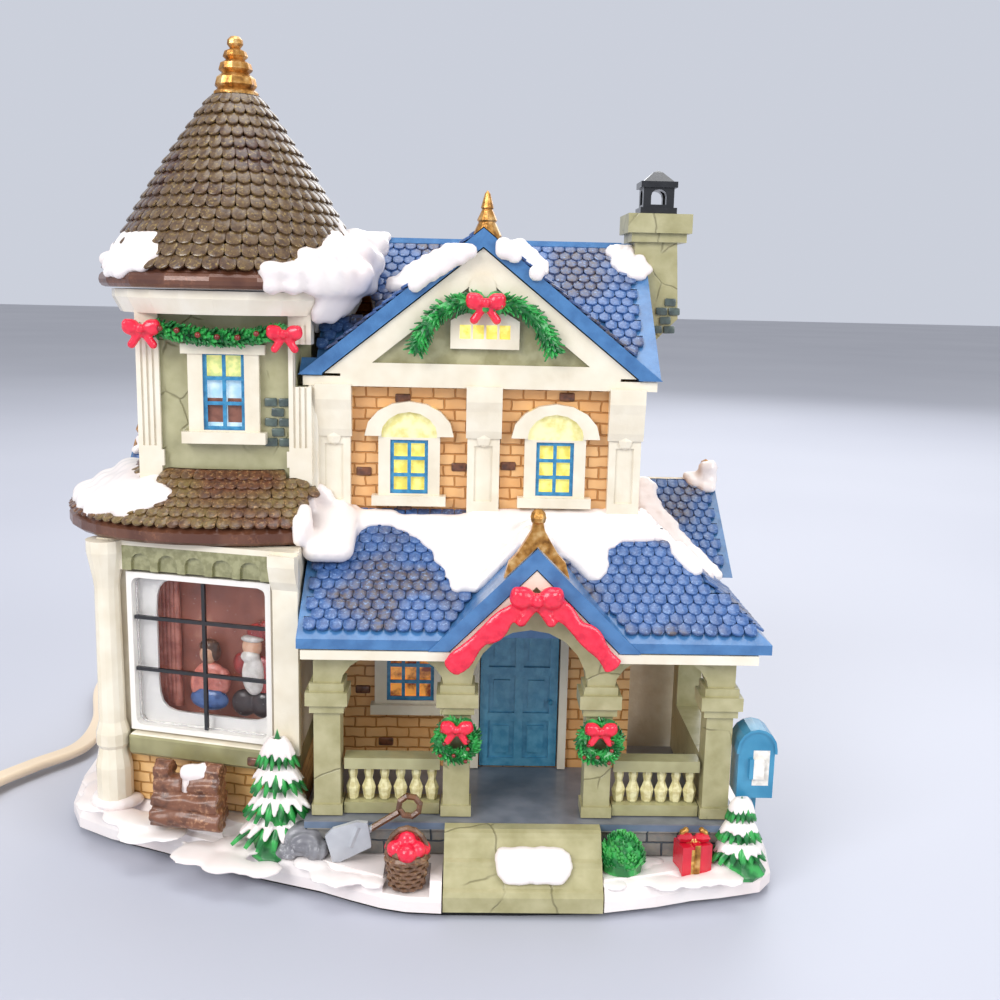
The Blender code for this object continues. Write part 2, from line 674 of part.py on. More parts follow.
def make_main_roof():
    depth = (ROOF_FRONT, ROOF_BACK)
    width = (ROOF_LEFT, ROOF_RIGHT)
    side = slope_outline(ROOF_MIDDLE_Y, ROOF_HALF_DEPTH, ROOF_EAVE_Z, ROOF_RIDGE_Z)
    side_inside = slope_outline(
        ROOF_MIDDLE_Y, ROOF_HALF_DEPTH, ROOF_EAVE_Z, ROOF_RIDGE_Z, DEEP, ROOF_THICKNESS
    )
    front = slope_outline(MAIN_MIDDLE_X, ROOF_HALF_WIDTH + VERGE_LAP, ROOF_EAVE_Z - VERGE_LAP, GABLE_APEX_Z)
    front_inside = slope_outline(
        MAIN_MIDDLE_X, ROOF_HALF_WIDTH, ROOF_EAVE_Z, GABLE_APEX_Z, DEEP, ROOF_THICKNESS
    )
    roof = plate("YZ", width, side)
    gable = plate("XZ", (ROOF_FRONT - VERGE_LAP, ROOF_MIDDLE_Y + VERGE_LAP), front)
    ridge = tube(
        [(ROOF_LEFT - VERGE_LAP, ROOF_MIDDLE_Y, ROOF_RIDGE_Z), (ROOF_RIGHT + VERGE_LAP, ROOF_MIDDLE_Y,
                                                                ROOF_RIDGE_Z)],
        RIDGE_CAP, 1,
    )
    roof = joined(roof, gable, ridge)
    inside_side = plate("YZ", (ROOF_LEFT - DEEP, ROOF_RIGHT + DEEP), side_inside)
    inside_front = plate("XZ", (ROOF_FRONT - DEEP, ROOF_MIDDLE_Y - ROOF_THICKNESS), front_inside)
    chimney_gap = block(
        (MAIN_RIGHT, MAIN_RIGHT + CHIMNEY_WIDTH + 2 * CLEARANCE),
        (CHIMNEY_FRONT - CLEARANCE, CHIMNEY_BACK + CLEARANCE),
        (CHIMNEY_FOOT_Z - DEEP, CHIMNEY_TOP_Z),
    )
    cap_gap = block(
        (MAIN_RIGHT - CHIMNEY_CAP_OVERHANG - CLEARANCE, MAIN_RIGHT + CHIMNEY_WIDTH),
        (CHIMNEY_FRONT - CHIMNEY_CAP_OVERHANG - CLEARANCE, CHIMNEY_BACK + CHIMNEY_CAP_OVERHANG),
        (CHIMNEY_CAP_Z - CLEARANCE, CHIMNEY_TOP_Z),
    )
    tower_side = block(
        (AXIS_X - UPPER_HALF, MAIN_LEFT),
        (MAIN_FRONT - CLEARANCE, AXIS_Y + UPPER_HALF + CORNER_COLUMN),
        (UPPER_BOTTOM_Z, UPPER_TOP_Z),
    )
    roof = cut(
        roof, inside_side, inside_front, chimney_gap, cap_gap, tower_side, tower_envelope(CLEARANCE)
    )
    keep("main_roof", roof, ROOF_BLUE)

    finial = turned(
        [(0, 0.0120), (0.0007, 0.0112), (0.0016, 0.0078), (0.0013, 0.0074), (0.0025, 0.0048),
         (0.0021, 0.0043), (0.0036, 0.0012), (0.0036, 0), (0, 0)],
        (MAIN_MIDDLE_X + 0.0008, ROOF_FRONT + 0.0040, GABLE_APEX_Z - 0.0028),
        12,
    )
    over_roof = slope_outline(MAIN_MIDDLE_X, ROOF_HALF_WIDTH, ROOF_EAVE_Z, GABLE_APEX_Z, 0, -CLEARANCE)
    keep("gable_finial", cut(finial, plate("XZ", (ROOF_FRONT - DEEP, ROOF_MIDDLE_Y), over_roof)), GOLD)


PILASTER_LEFTS = [
    MAIN_LEFT + 0.0004,
    MAIN_MIDDLE_X + 0.0010 - PILASTER_WIDTH / 2,
    MAIN_RIGHT - 0.0002 - PILASTER_WIDTH,
]
TRIM_BACK = MAIN_FRONT - CLEARANCE
TRIM_FRONT = TRIM_BACK - CORNICE_PROUD + CLEARANCE
CORNICE_TOP_Z = ROOF_EAVE_Z - VERGE_LAP - CLEARANCE


def make_front_trim():
    """Pediment, cornice and three pilasters with consoles, as one casting."""
    inner = slope_outline(
        MAIN_MIDDLE_X, ROOF_HALF_WIDTH, ROOF_EAVE_Z, GABLE_APEX_Z, 0, ROOF_THICKNESS + CLEARANCE
    )
    pediment = plate("XZ", (TRIM_FRONT, TRIM_BACK), inner)
    cornice = block((ROOF_LEFT + 0.0008, ROOF_RIGHT - 0.0008), (TRIM_FRONT, TRIM_BACK),
                    (CORNICE_BOTTOM_Z, CORNICE_TOP_Z))
    collar = block((inner[0][0] + 0.004, inner[2][0] - 0.004), (TRIM_FRONT, TRIM_BACK),
                   (CORNICE_TOP_Z - 0.0005, ROOF_EAVE_Z + 0.0005))
    panel = slope_outline(
        MAIN_MIDDLE_X, ROOF_HALF_WIDTH, ROOF_EAVE_Z, GABLE_APEX_Z, 0,
        ROOF_THICKNESS + CLEARANCE + PEDIMENT_FRAME,
    )
    rise = (panel[1][1] - panel[0][1]) / (panel[1][0] - panel[0][0])
    panel = [(panel[0][0] + PANEL_LIFT / rise, panel[0][1] + PANEL_LIFT), panel[1],
             (panel[2][0] - PANEL_LIFT / rise, panel[2][1] + PANEL_LIFT)]
    recess = plate("XZ", (TRIM_FRONT - 0.001, TRIM_FRONT + PEDIMENT_RECESS), panel)
    pediment = cut(joined(pediment, cornice, collar), recess)
    keystone = plate(
        "XZ", (TRIM_FRONT - 0.0006, TRIM_FRONT + 0.001),
        arched(MAIN_MIDDLE_X, 0.0034, panel[1][1] - 0.0050, panel[1][1] - 0.0032, panel[1][1] + 0.0006, 6),
    )
    pieces = [keystone]
    front = TRIM_BACK - PILASTER_PROUD
    foot = PORCH_RIDGE_Z + 0.0006
    for left in PILASTER_LEFTS:
        right = left + PILASTER_WIDTH
        shaft = block((left, right), (front, TRIM_BACK), (foot, CORNICE_BOTTOM_Z + 0.001))
        sunk = block((left + 0.0018, right - 0.0018), (front - 0.001, front + 0.0005),
                     (foot + 0.003, CORNICE_BOTTOM_Z - CONSOLE_HEIGHT - 0.002))
        top = CORNICE_BOTTOM_Z + 0.0005
        low = CORNICE_BOTTOM_Z - CONSOLE_HEIGHT
        scroll = [
            (front + 0.001, top), (front - CONSOLE_PROUD, top),
            (front - CONSOLE_PROUD, top - CONSOLE_HEIGHT * 0.30),
            (front - CONSOLE_PROUD * 0.75, top - CONSOLE_HEIGHT * 0.50),
            (front - CONSOLE_PROUD * 0.45, low + CONSOLE_HEIGHT * 0.15),
            (front - CONSOLE_PROUD * 0.20, low), (front + 0.001, low),
        ]
        console = plate("YZ", (left - 0.0004, right + 0.0004), scroll)
        drop = ball(((left + right) / 2, front, low), (0.0020, 0.0010, 0.0024), 6, 4)
        pieces += [cut(shaft, sunk), console, drop]
    keep("front_trim", joined(pediment, *pieces), CREAM)


# Windows and doors
def pane_grid(across, high, columns, rows, bar):
    """Outlines of the panes between a border and glazing bars of one width."""
    width = (across[1] - across[0] - bar * (columns + 1)) / columns
    height = (high[1] - high[0] - bar * (rows + 1)) / rows
    panes = []
    for column in range(columns):
        for row in range(rows):
            left = across[0] + bar + column * (width + bar)
            low = high[0] + bar + row * (height + bar)
            panes.append(rectangle((left, left + width), (low, low + height)))
    return panes


def sash(centre, width, bottom, height, columns, rows, front):
    across = (centre - width / 2, centre + width / 2)
    high = (bottom, bottom + height)
    bars = plate("XZ", (front, front + 0.0014), rectangle(across, high),
                 *pane_grid(across, high, columns, rows, SASH_BAR))
    panes = block(across, (front + 0.0010, front + 0.0010 + PANE_THICKNESS), high)
    return [bars, panes]


def make_upper_windows():
    for name, centre in (("upper_window_left", WINDOW_LEFT_X), ("upper_window_right", WINDOW_RIGHT_X)):
        half = SASH_WIDTH / 2 + WINDOW_FRAME
        spring = SASH_BOTTOM_Z + SASH_HEIGHT + 0.0010
        top = spring + half
        hole = rectangle((centre - SASH_WIDTH / 2, centre + SASH_WIDTH / 2),
                         (SASH_BOTTOM_Z, SASH_BOTTOM_Z + SASH_HEIGHT))
        frame = plate("XZ", (TRIM_BACK - 0.0018, TRIM_BACK),
                      arched(centre, half, SASH_BOTTOM_Z - 0.0020, spring, top), hole)
        outer = arched(centre, half + WINDOW_HOOD, spring, spring + 0.0002, top + 0.0010)
        inner = arched(centre, half - 0.0006, spring - 0.001, spring, top - 0.0016)
        hood = cut(plate("XZ", (TRIM_BACK - 0.0028, TRIM_BACK), outer),
                   plate("XZ", (TRIM_BACK - 0.0040, TRIM_BACK - 0.0006), inner))
        sill = block((centre - half - 0.0016, centre + half + 0.0016), (TRIM_BACK - 0.0032, TRIM_BACK),
                     (SASH_BOTTOM_Z - 0.0030, SASH_BOTTOM_Z - 0.0004))
        glazing = sash(centre, SASH_WIDTH, SASH_BOTTOM_Z, SASH_HEIGHT, 2, 3, TRIM_BACK - 0.0012)
        keep(name, joined(frame, hood, sill, *glazing), CREAM)


def make_porch_window():
    half = PORCH_WINDOW_WIDTH / 2
    top = PORCH_WINDOW_BOTTOM_Z + PORCH_WINDOW_HEIGHT
    hole = rectangle((PORCH_WINDOW_X - half, PORCH_WINDOW_X + half), (PORCH_WINDOW_BOTTOM_Z, top))
    edge = half + 0.0032
    frame = plate("XZ", (TRIM_BACK - 0.0018, TRIM_BACK),
                  rectangle((PORCH_WINDOW_X - edge, PORCH_WINDOW_X + edge),
                            (PORCH_WINDOW_BOTTOM_Z - 0.0016, top + 0.0030)), hole)
    sill = block((PORCH_WINDOW_X - edge - 0.0010, PORCH_WINDOW_X + edge + 0.0010),
                 (TRIM_BACK - 0.0034, TRIM_BACK),
                 (PORCH_WINDOW_BOTTOM_Z - 0.0034, PORCH_WINDOW_BOTTOM_Z - 0.0008))
    glazing = sash(PORCH_WINDOW_X, PORCH_WINDOW_WIDTH, PORCH_WINDOW_BOTTOM_Z, PORCH_WINDOW_HEIGHT,
                   3, 4, TRIM_BACK - 0.0010)
    keep("porch_window", joined(frame, sill, *glazing), CREAM)


def make_door():
    bottom = PORCH_FLOOR_Z + CLEARANCE
    half = DOOR_WIDTH / 2
    high = (bottom, bottom + DOOR_HEIGHT)
    across = (DOOR_X - half, DOOR_X + half)
    front = MAIN_FRONT - 0.0004
    leaf = block(across, (front, front + DOOR_THICKNESS), high)
    sunk = [
        plate("XZ", (front - 0.001, front + 0.0007), panel)
        for panel in pane_grid(across, high, 2, 3, 0.0022)
    ]
    raised = [
        plate("XZ", (front + 0.0002, front + 0.0012), [
            ((x - cx) * 0.62 + cx, (z - cz) * 0.72 + cz) for x, z in panel
        ])
        for panel in pane_grid(across, high, 2, 3, 0.0022)
        for cx, cz in [((panel[0][0] + panel[1][0]) / 2, (panel[0][1] + panel[2][1]) / 2)]
    ]
    knob = ball((across[1] - 0.0019, front - 0.0004, bottom + DOOR_HEIGHT * 0.45),
                (0.0008, 0.0010, 0.0008), 6, 4)
    keep("front_door", joined(cut(leaf, *sunk), *raised, knob), DOOR_BLUE)

    inner = rectangle((across[0] - CLEARANCE, across[1] + CLEARANCE), (bottom - 0.001, high[1] + CLEARANCE))
    outer = rectangle((across[0] - DOOR_FRAME, across[1] + DOOR_FRAME), (bottom, high[1] + DOOR_FRAME))
    frame = plate("XZ", (TRIM_BACK - 0.0020, TRIM_BACK), outer)
    opening = plate("XZ", (TRIM_BACK - 0.0040, TRIM_BACK + 0.0010), inner)
    keep("door_frame", cut(frame, opening), CREAM)


def make_attic_window():
    centre = MAIN_MIDDLE_X + 0.0008
    half = ATTIC_WIDTH / 2
    back = TRIM_FRONT + PEDIMENT_RECESS - CLEARANCE
    top = ATTIC_BOTTOM_Z + ATTIC_HEIGHT
    outline = [
        (centre - half, ATTIC_BOTTOM_Z), (centre + half, ATTIC_BOTTOM_Z),
        (centre + half, top - 0.0022), (centre + half - 0.0030, top - 0.0005), (centre, top),
        (centre - half + 0.0030, top - 0.0005), (centre - half, top - 0.0022),
    ]
    across = (centre - half + 0.0017, centre + half - 0.0017)
    high = (ATTIC_BOTTOM_Z + 0.0019, top - 0.0026)
    frame = plate("XZ", (back - 0.0013, back), outline,
                  *pane_grid(across, high, 4, 1, 0.0006))
    panes = block(across, (back - PANE_THICKNESS, back), high)
    keep("attic_window", joined(frame, panes), CREAM)


# Porch
def arch_cutter(plane, limits, left, right, top, bottom=None):
    low = PORCH_FLOOR_Z if bottom is None else bottom
    return plate(plane, limits, arched((left + right) / 2, (right - left) / 2, low - 0.001,
                                       ARCH_SPRING_Z, top, 10))


PORCH_LEFT = POST_LEFTS[0]
PORCH_RIGHT = POST_LEFTS[-1] + POST_WIDTH
SIDE_PANEL = (POST_LEFTS[-1], PORCH_RIGHT)
ARCADE_BOTTOM = PORCH_FLOOR_Z + CLEARANCE
ARCADE_TOP = PORCH_EAVE_Z - CLEARANCE
EAVE_FRONT = PORCH_FRONT - EAVE_OVERHANG
EAVE_RIGHT = PORCH_RIGHT + PORCH_RIGHT_OVERHANG
PORCH_ROOF_LEFT = TOWER_RIGHT + 0.0008
GABLE_FOOT_Z = PORCH_EAVE_Z
GABLE_HALF = PORCH_GABLE_APEX_Z - GABLE_FOOT_Z
SIDE_WALL_BACK = PORCH_BACK - CLEARANCE


def porch_gable(inset, drop=0.0):
    return slope_outline(PORCH_GABLE_X, GABLE_HALF, GABLE_FOOT_Z, PORCH_GABLE_APEX_Z, drop, inset)


def make_arcade():
    """Four posts with three front arches, the gable above the entry and the side arch."""
    front = (PORCH_FRONT, PORCH_FRONT + POST_WIDTH)
    wall = plate("XZ", front, rectangle((PORCH_LEFT, PORCH_RIGHT), (ARCADE_BOTTOM, ARCADE_TOP)))
    gable = plate("XZ", front, porch_gable(PORCH_GABLE_BAND + CLEARANCE, 0.004))
    side = plate("YZ", SIDE_PANEL, rectangle((PORCH_FRONT, SIDE_WALL_BACK), (ARCADE_BOTTOM, ARCADE_TOP)))
    through = (PORCH_FRONT - 0.01, PORCH_FRONT + POST_WIDTH + 0.01)
    tops = [SIDE_ARCH_TOP_Z, ENTRY_ARCH_TOP_Z, SIDE_ARCH_TOP_Z]
    arches = [
        arch_cutter("XZ", through, left + POST_WIDTH, right, top)
        for left, right, top in zip(POST_LEFTS, POST_LEFTS[1:], tops)
    ]
    side_limits = (SIDE_PANEL[0] - 0.01, SIDE_PANEL[1] + 0.01)
    side_arch = arch_cutter("YZ", side_limits, PORCH_FRONT + POST_WIDTH,
                            SIDE_WALL_BACK - POST_WIDTH, SIDE_ARCH_TOP_Z, RAIL_TOP_Z + 0.001)
    arcade = cut(joined(wall, gable, side), *arches, side_arch)
    capitals = []
    for left in POST_LEFTS:
        for grow, low, high in (
            (CAPITAL_OVERHANG * 0.5, CAPITAL_BOTTOM_Z, CAPITAL_BOTTOM_Z + 0.0022),
            (CAPITAL_OVERHANG, CAPITAL_BOTTOM_Z + 0.0020, ARCH_SPRING_Z - 0.0012),
            (CAPITAL_OVERHANG * 0.5, ARCH_SPRING_Z - 0.0014, ARCH_SPRING_Z + 0.0008),
        ):
            capitals.append(block((left - grow, left + POST_WIDTH + grow),
                                  (PORCH_FRONT - grow, PORCH_FRONT + POST_WIDTH + grow * 0.4), (low, high)))
        capitals.append(block((left - 0.0005, left + POST_WIDTH + 0.0005),
                              (PORCH_FRONT - 0.0006, PORCH_FRONT + POST_WIDTH), (ARCADE_BOTTOM, 0.0205)))
    keep("porch_arcade", joined(arcade, *capitals), SAGE)


def make_rail(name, left, right):
    """A top and a bottom rail with a row of turned balusters between them."""
    across = (left + 0.0005 + CLEARANCE, right - 0.0005 - CLEARANCE)
    middle = PORCH_FRONT + 0.0008 + RAIL_DEPTH / 2
    deep = (middle - RAIL_DEPTH / 2, middle + RAIL_DEPTH / 2)
    top = block(across, deep, (RAIL_TOP_Z - RAIL_HEIGHT, RAIL_TOP_Z))
    low = ARCADE_BOTTOM + RAIL_HEIGHT
    foot = block(across, deep, (ARCADE_BOTTOM, low))
    height = RAIL_TOP_Z - RAIL_HEIGHT - low
    pitch = (across[1] - across[0]) / BALUSTERS
    profile = [(0, height + 0.0004), (0.55, height + 0.0004), (0.70, height * 0.80), (0.50, height * 0.62),
               (1.0, height * 0.36), (0.65, -0.0004), (0, -0.0004)]
    urn = [(share * BALUSTER_RADIUS, z) for share, z in profile]
    balusters = [
        turned(urn, (across[0] + pitch * (i + 0.5), middle, low), 6)
        for i in range(BALUSTERS)
    ]
    keep(name, joined(foot, top, *balusters), SAGE)


def make_porch_roof():
    """Hipped roof round the corner of the main block, with a gable over the entry."""
    far = 0.2
    eave_top = PORCH_EAVE_Z + EAVE_THICKNESS
    box = block((PORCH_ROOF_LEFT, EAVE_RIGHT), (EAVE_FRONT, SIDE_WALL_BACK - 0.0040), (PORCH_EAVE_Z,
                                                                                       PORCH_RIDGE_Z))
    run = MAIN_FRONT - EAVE_FRONT
    rise = PORCH_RIDGE_Z - eave_top
    front_air = plate("YZ", (-far, far), [
        (EAVE_FRONT - run, eave_top - rise), (EAVE_FRONT, eave_top), (EAVE_FRONT + run * 3,
                                                                      eave_top + rise * 3),
        (EAVE_FRONT - run, eave_top + rise * 3),
    ])
    run = EAVE_RIGHT - MAIN_RIGHT
    side_air = plate("XZ", (-far, far), [
        (EAVE_RIGHT + run, eave_top - rise), (EAVE_RIGHT, eave_top), (EAVE_RIGHT - run * 3,
                                                                      eave_top + rise * 3),
        (EAVE_RIGHT + run, eave_top + rise * 3),
    ])
    house = block((-far, MAIN_RIGHT + CLEARANCE), (MAIN_FRONT - CLEARANCE, far), (0, far))
    roof = cut(box, front_air, side_air, house)
    gable_front = EAVE_FRONT - PORCH_GABLE_PROUD
    gable_back = EAVE_FRONT + (PORCH_GABLE_APEX_Z - eave_top) * (MAIN_FRONT - EAVE_FRONT) / rise
    gable = plate("XZ", (gable_front, min(gable_back, TRIM_BACK)), porch_gable(0))
    tympanum = plate("XZ", (gable_front - 0.01, PORCH_FRONT + POST_WIDTH + CLEARANCE),
                     porch_gable(PORCH_GABLE_BAND, 0.004))
    keep("porch_roof", cut(joined(roof, gable), tympanum), ROOF_BLUE)


def make_fascia():
    """White board under the eave with its chevron under the porch gable."""
    back = PORCH_FRONT - CLEARANCE
    front = EAVE_FRONT - 0.0002
    low = ARCADE_TOP - FASCIA_HEIGHT
    across = (PORCH_ROOF_LEFT + 0.0010, EAVE_RIGHT - 0.0030)
    board = plate("XZ", (front, back), rectangle(across, (low, ARCADE_TOP)))
    outer = plate("XZ", (front, back), porch_gable(PORCH_GABLE_BAND + CLEARANCE, FASCIA_HEIGHT))
    inner = plate("XZ", (front - 0.01, back + 0.01), porch_gable(PORCH_GABLE_BAND + 0.0030, 0.02))
    keep("porch_fascia", cut(joined(board, outer), inner), CREAM)


def make_porch_finial():
    """Gold scrolls astride the porch gable, with a knob."""
    foot = PORCH_GABLE_APEX_Z
    seat = CLEARANCE * 1.6
    outline = [
        (-0.0076, -0.0076 + seat), (-0.0066, -0.0034), (-0.0048, -0.0014), (-0.0032, 0.0012), (-0.0016,
                                                                                               0.0040),
        (-0.0011, 0.0064), (0.0011, 0.0064), (0.0016, 0.0040), (0.0032, 0.0012), (0.0048, -0.0014),
        (0.0066, -0.0034), (0.0076, -0.0076 + seat), (0, seat),
    ]
    middle = EAVE_FRONT + 0.0008
    scroll = plate("XZ", (middle - 0.0012, middle + 0.0012), [(PORCH_GABLE_X + x, foot + z) for x,
                                                              z in outline])
    knob = ball((PORCH_GABLE_X, middle, foot + 0.0072), (0.0019, 0.0019, 0.0021), 10, 6)
    keep("porch_finial", joined(scroll, knob), GOLD)


def make_ribbon():
    """Red ribbon draped over the porch gable, with a bow at the apex."""
    front = EAVE_FRONT - PORCH_GABLE_PROUD - CLEARANCE
    band = smooth_loop([(0.0120, 0.0590), (0.0180, 0.0645), (0.0245, 0.0705), (0.0308, 0.0735),
                        (0.0375, 0.0710), (0.0432, 0.0655), (0.0484, 0.0600)], 3, closed=False)
    half = 0.0019
    outline = [(x, z + half) for x, z in band] + [(x, z - half) for x, z in reversed(band)]
    ribbon = plate("XZ", (front - 0.0013, front), outline)
    bow = [
        ball((PORCH_GABLE_X + side * 0.0030, front - 0.0012, 0.0737), (0.0032, 0.0010, 0.0023), 6, 4)
        for side in (-1, 1)
    ]
    knot = ball((PORCH_GABLE_X, front - 0.0014, 0.0737), (0.0013, 0.0012, 0.0017), 6, 4)
    keep("porch_ribbon", joined(ribbon, *bow, knot), RED)


def ring(centre, radius, thickness, steps=10):
    points = [
        (centre[0] + radius * math.cos(2 * math.pi * i / steps), centre[1],
         centre[2] + radius * math.sin(2 * math.pi * i / steps))
        for i in range(steps)
    ]
    return tube(points, thickness, 1, closed=True)


def make_wreaths():
    for name, left in (("wreath_left", POST_LEFTS[1]), ("wreath_right", POST_LEFTS[2])):
        centre = left + POST_WIDTH / 2
        thickness = 0.0017
        middle = PORCH_FRONT - CLEARANCE - thickness
        wreath = ring((centre, middle, 0.0380), 0.0040, thickness)
        bow = [
            ball((centre + side * 0.0020, middle - 0.0006, 0.0420), (0.0023, 0.0012, 0.0021), 6, 4)
            for side in (-1, 1)
        ]
        knot = ball((centre, middle - 0.0012, 0.0412), (0.0012, 0.0011, 0.0013), 6, 4)
        keep(name, joined(wreath, *bow, knot), GREEN)


# Side bays
def make_bay(name, wall_x, verge_x, front, back, ridge_z, eave_z):
    """A gabled bay: walls, a roof with its ridge along X and a gold finial at the verge."""
    middle = (front + back) / 2
    half = (back - front) / 2 + BAY_OVERHANG
    left, right = sorted(wall_x)
    walls = plate("YZ", (left, right), slope_outline(
        middle, half, eave_z, ridge_z, 0, BAY_ROOF / 2))
    body = block((left, right), (front, back), (GROUND, eave_z + BAY_OVERHANG * 0.5))
    outer = plate("YZ", tuple(sorted(verge_x)), slope_outline(middle, half, eave_z, ridge_z))
    under = plate("YZ", (min(verge_x) - 0.01, max(verge_x) + 0.01),
                  slope_outline(middle, half, eave_z, ridge_z, 0.01, BAY_ROOF))
    shell = cut(outer, under)
    tip = verge_x[1]
    inward = 0.0024 if tip < 0 else -0.0024
    finial = turned([(0, 0.0066), (0.0012, 0.0060), (0.0020, 0.0040), (0.0012, 0.0026), (0.0022, 0.0010),
                     (0.0024, -0.0020), (0, -0.0020)], (tip + inward, middle, ridge_z - 0.0008), 9)
    keep(name, joined(shell, walls, body, finial), CREAM)


# Chimney
def make_chimney():
    left = MAIN_RIGHT + CLEARANCE
    right = left + CHIMNEY_WIDTH
    middle = (left + right) / 2
    outline = [
        (left, CHIMNEY_FOOT_Z), (left + 0.0030, CHIMNEY_FOOT_Z), (left + 0.0088, CHIMNEY_FOOT_Z + 0.0062),
        (right, CHIMNEY_FOOT_Z + 0.0100), (right - 0.0012, CHIMNEY_CAP_Z + 0.001), (left,
                                                                                    CHIMNEY_CAP_Z + 0.001),
    ]
    shaft = plate("XZ", (CHIMNEY_FRONT, CHIMNEY_BACK), outline)
    cap = []
    half_width = (right - left) / 2
    for grow, low, high in (
        (CHIMNEY_CAP_OVERHANG * 0.5, CHIMNEY_CAP_Z, CHIMNEY_CAP_Z + 0.0026),
        (CHIMNEY_CAP_OVERHANG, CHIMNEY_CAP_Z + 0.0024, CHIMNEY_TOP_Z),
    ):
        cap.append(block((middle - half_width - grow, middle + half_width + grow),
                         (CHIMNEY_FRONT - grow, CHIMNEY_BACK + grow), (low, high)))
    keep("chimney_stack", joined(shaft, *cap), SAGE)

    middle_y = (CHIMNEY_FRONT + CHIMNEY_BACK) / 2
    half = POT_WIDTH / 2
    low = CHIMNEY_TOP_Z + CLEARANCE
    drum = low + POT_HEIGHT * 0.62
    body = block((middle - half * 0.84, middle + half * 0.84), (middle_y - half * 0.84,
                                                                middle_y + half * 0.84),
                 (low + 0.0010, drum))
    foot = block((middle - half, middle + half), (middle_y - half, middle_y + half), (low, low + 0.0016))
    lid = block((middle - half, middle + half), (middle_y - half, middle_y + half), (drum - 0.0004,
                                                                                     drum + 0.0012))
    hood = turned([(0, low + POT_HEIGHT), (half * 0.35, low + POT_HEIGHT * 0.95), (half * 1.25,
                                                                                   drum + 0.0010),
                   (half * 1.25, drum + 0.0006), (0, drum + 0.0006)], (middle, middle_y, 0), 4,
                  Matrix.Rotation(math.pi / 4, 4, "Z"))
    arch_z = low + POT_HEIGHT * 0.40
    holes = [
        plate("XZ", (middle_y - 0.02, middle_y + 0.02),
              arched(middle, half * 0.42, low + 0.0024, arch_z, arch_z + half * 0.35, 6)),
        plate("YZ", (middle - 0.02, middle + 0.02),
              arched(middle_y, half * 0.42, low + 0.0024, arch_z, arch_z + half * 0.35, 6)),
    ]
    keep("chimney_pot", joined(cut(body, *holes), foot, lid, hood), BLACK)


# Lower tower, drawn square to its front facet and then turned
FACET_RIGHT_Y = TOWER_CORNER_Y - (TOWER_RIGHT - TOWER_LEFT) * math.tan(FACET_TURN)
FACET_MIDDLE = Vector(((TOWER_LEFT + TOWER_RIGHT) / 2, (TOWER_CORNER_Y + FACET_RIGHT_Y) / 2, 0))
FACET = Matrix.Translation(FACET_MIDDLE) @ Matrix.Rotation(-FACET_TURN, 4, "Z")
FACET_HALF = (TOWER_RIGHT - TOWER_LEFT) / 2 / math.cos(FACET_TURN)
TOWER_BACK_LEFT = TOWER_LEFT - 0.0030
COLUMN_X = -FACET_HALF + COLUMN_RADIUS * 0.70
COLUMN_FOOT = COLUMN_RADIUS * 1.08


def tower_outline(inset):
    """Plan of the lower tower; inset gives the hollow inside."""
    return offset([
        (TOWER_LEFT, TOWER_CORNER_Y),
        (TOWER_RIGHT, FACET_RIGHT_Y),
        (TOWER_RIGHT, TOWER_BACK),
        (TOWER_BACK_LEFT, TOWER_BACK),
    ], inset)


def make_lower_tower():
    walls = plate("XY", (GROUND, LOWER_TOP_Z), tower_outline(0))
    hollow = plate("XY", (GROUND + TOWER_WALL, LOWER_TOP_Z + 0.01), tower_outline(TOWER_WALL))
    opening = moved(block((PICTURE_LEFT, PICTURE_RIGHT), (-0.02, TOWER_WALL * 2),
                          (PICTURE_BOTTOM_Z, PICTURE_TOP_Z)), FACET)
    tower = cut(walls, hollow, opening)
    sill = moved(rounded(block((COLUMN_X + COLUMN_FOOT + CLEARANCE, PICTURE_RIGHT + 0.0004),
                               (-SILL_DEPTH, 0.001),
                               (PICTURE_BOTTOM_Z - CLEARANCE - SILL_HEIGHT, PICTURE_BOTTOM_Z - CLEARANCE)),
                         0.0008, 1), FACET)
    keep("tower_lower_wall", joined(tower, sill), CREAM)


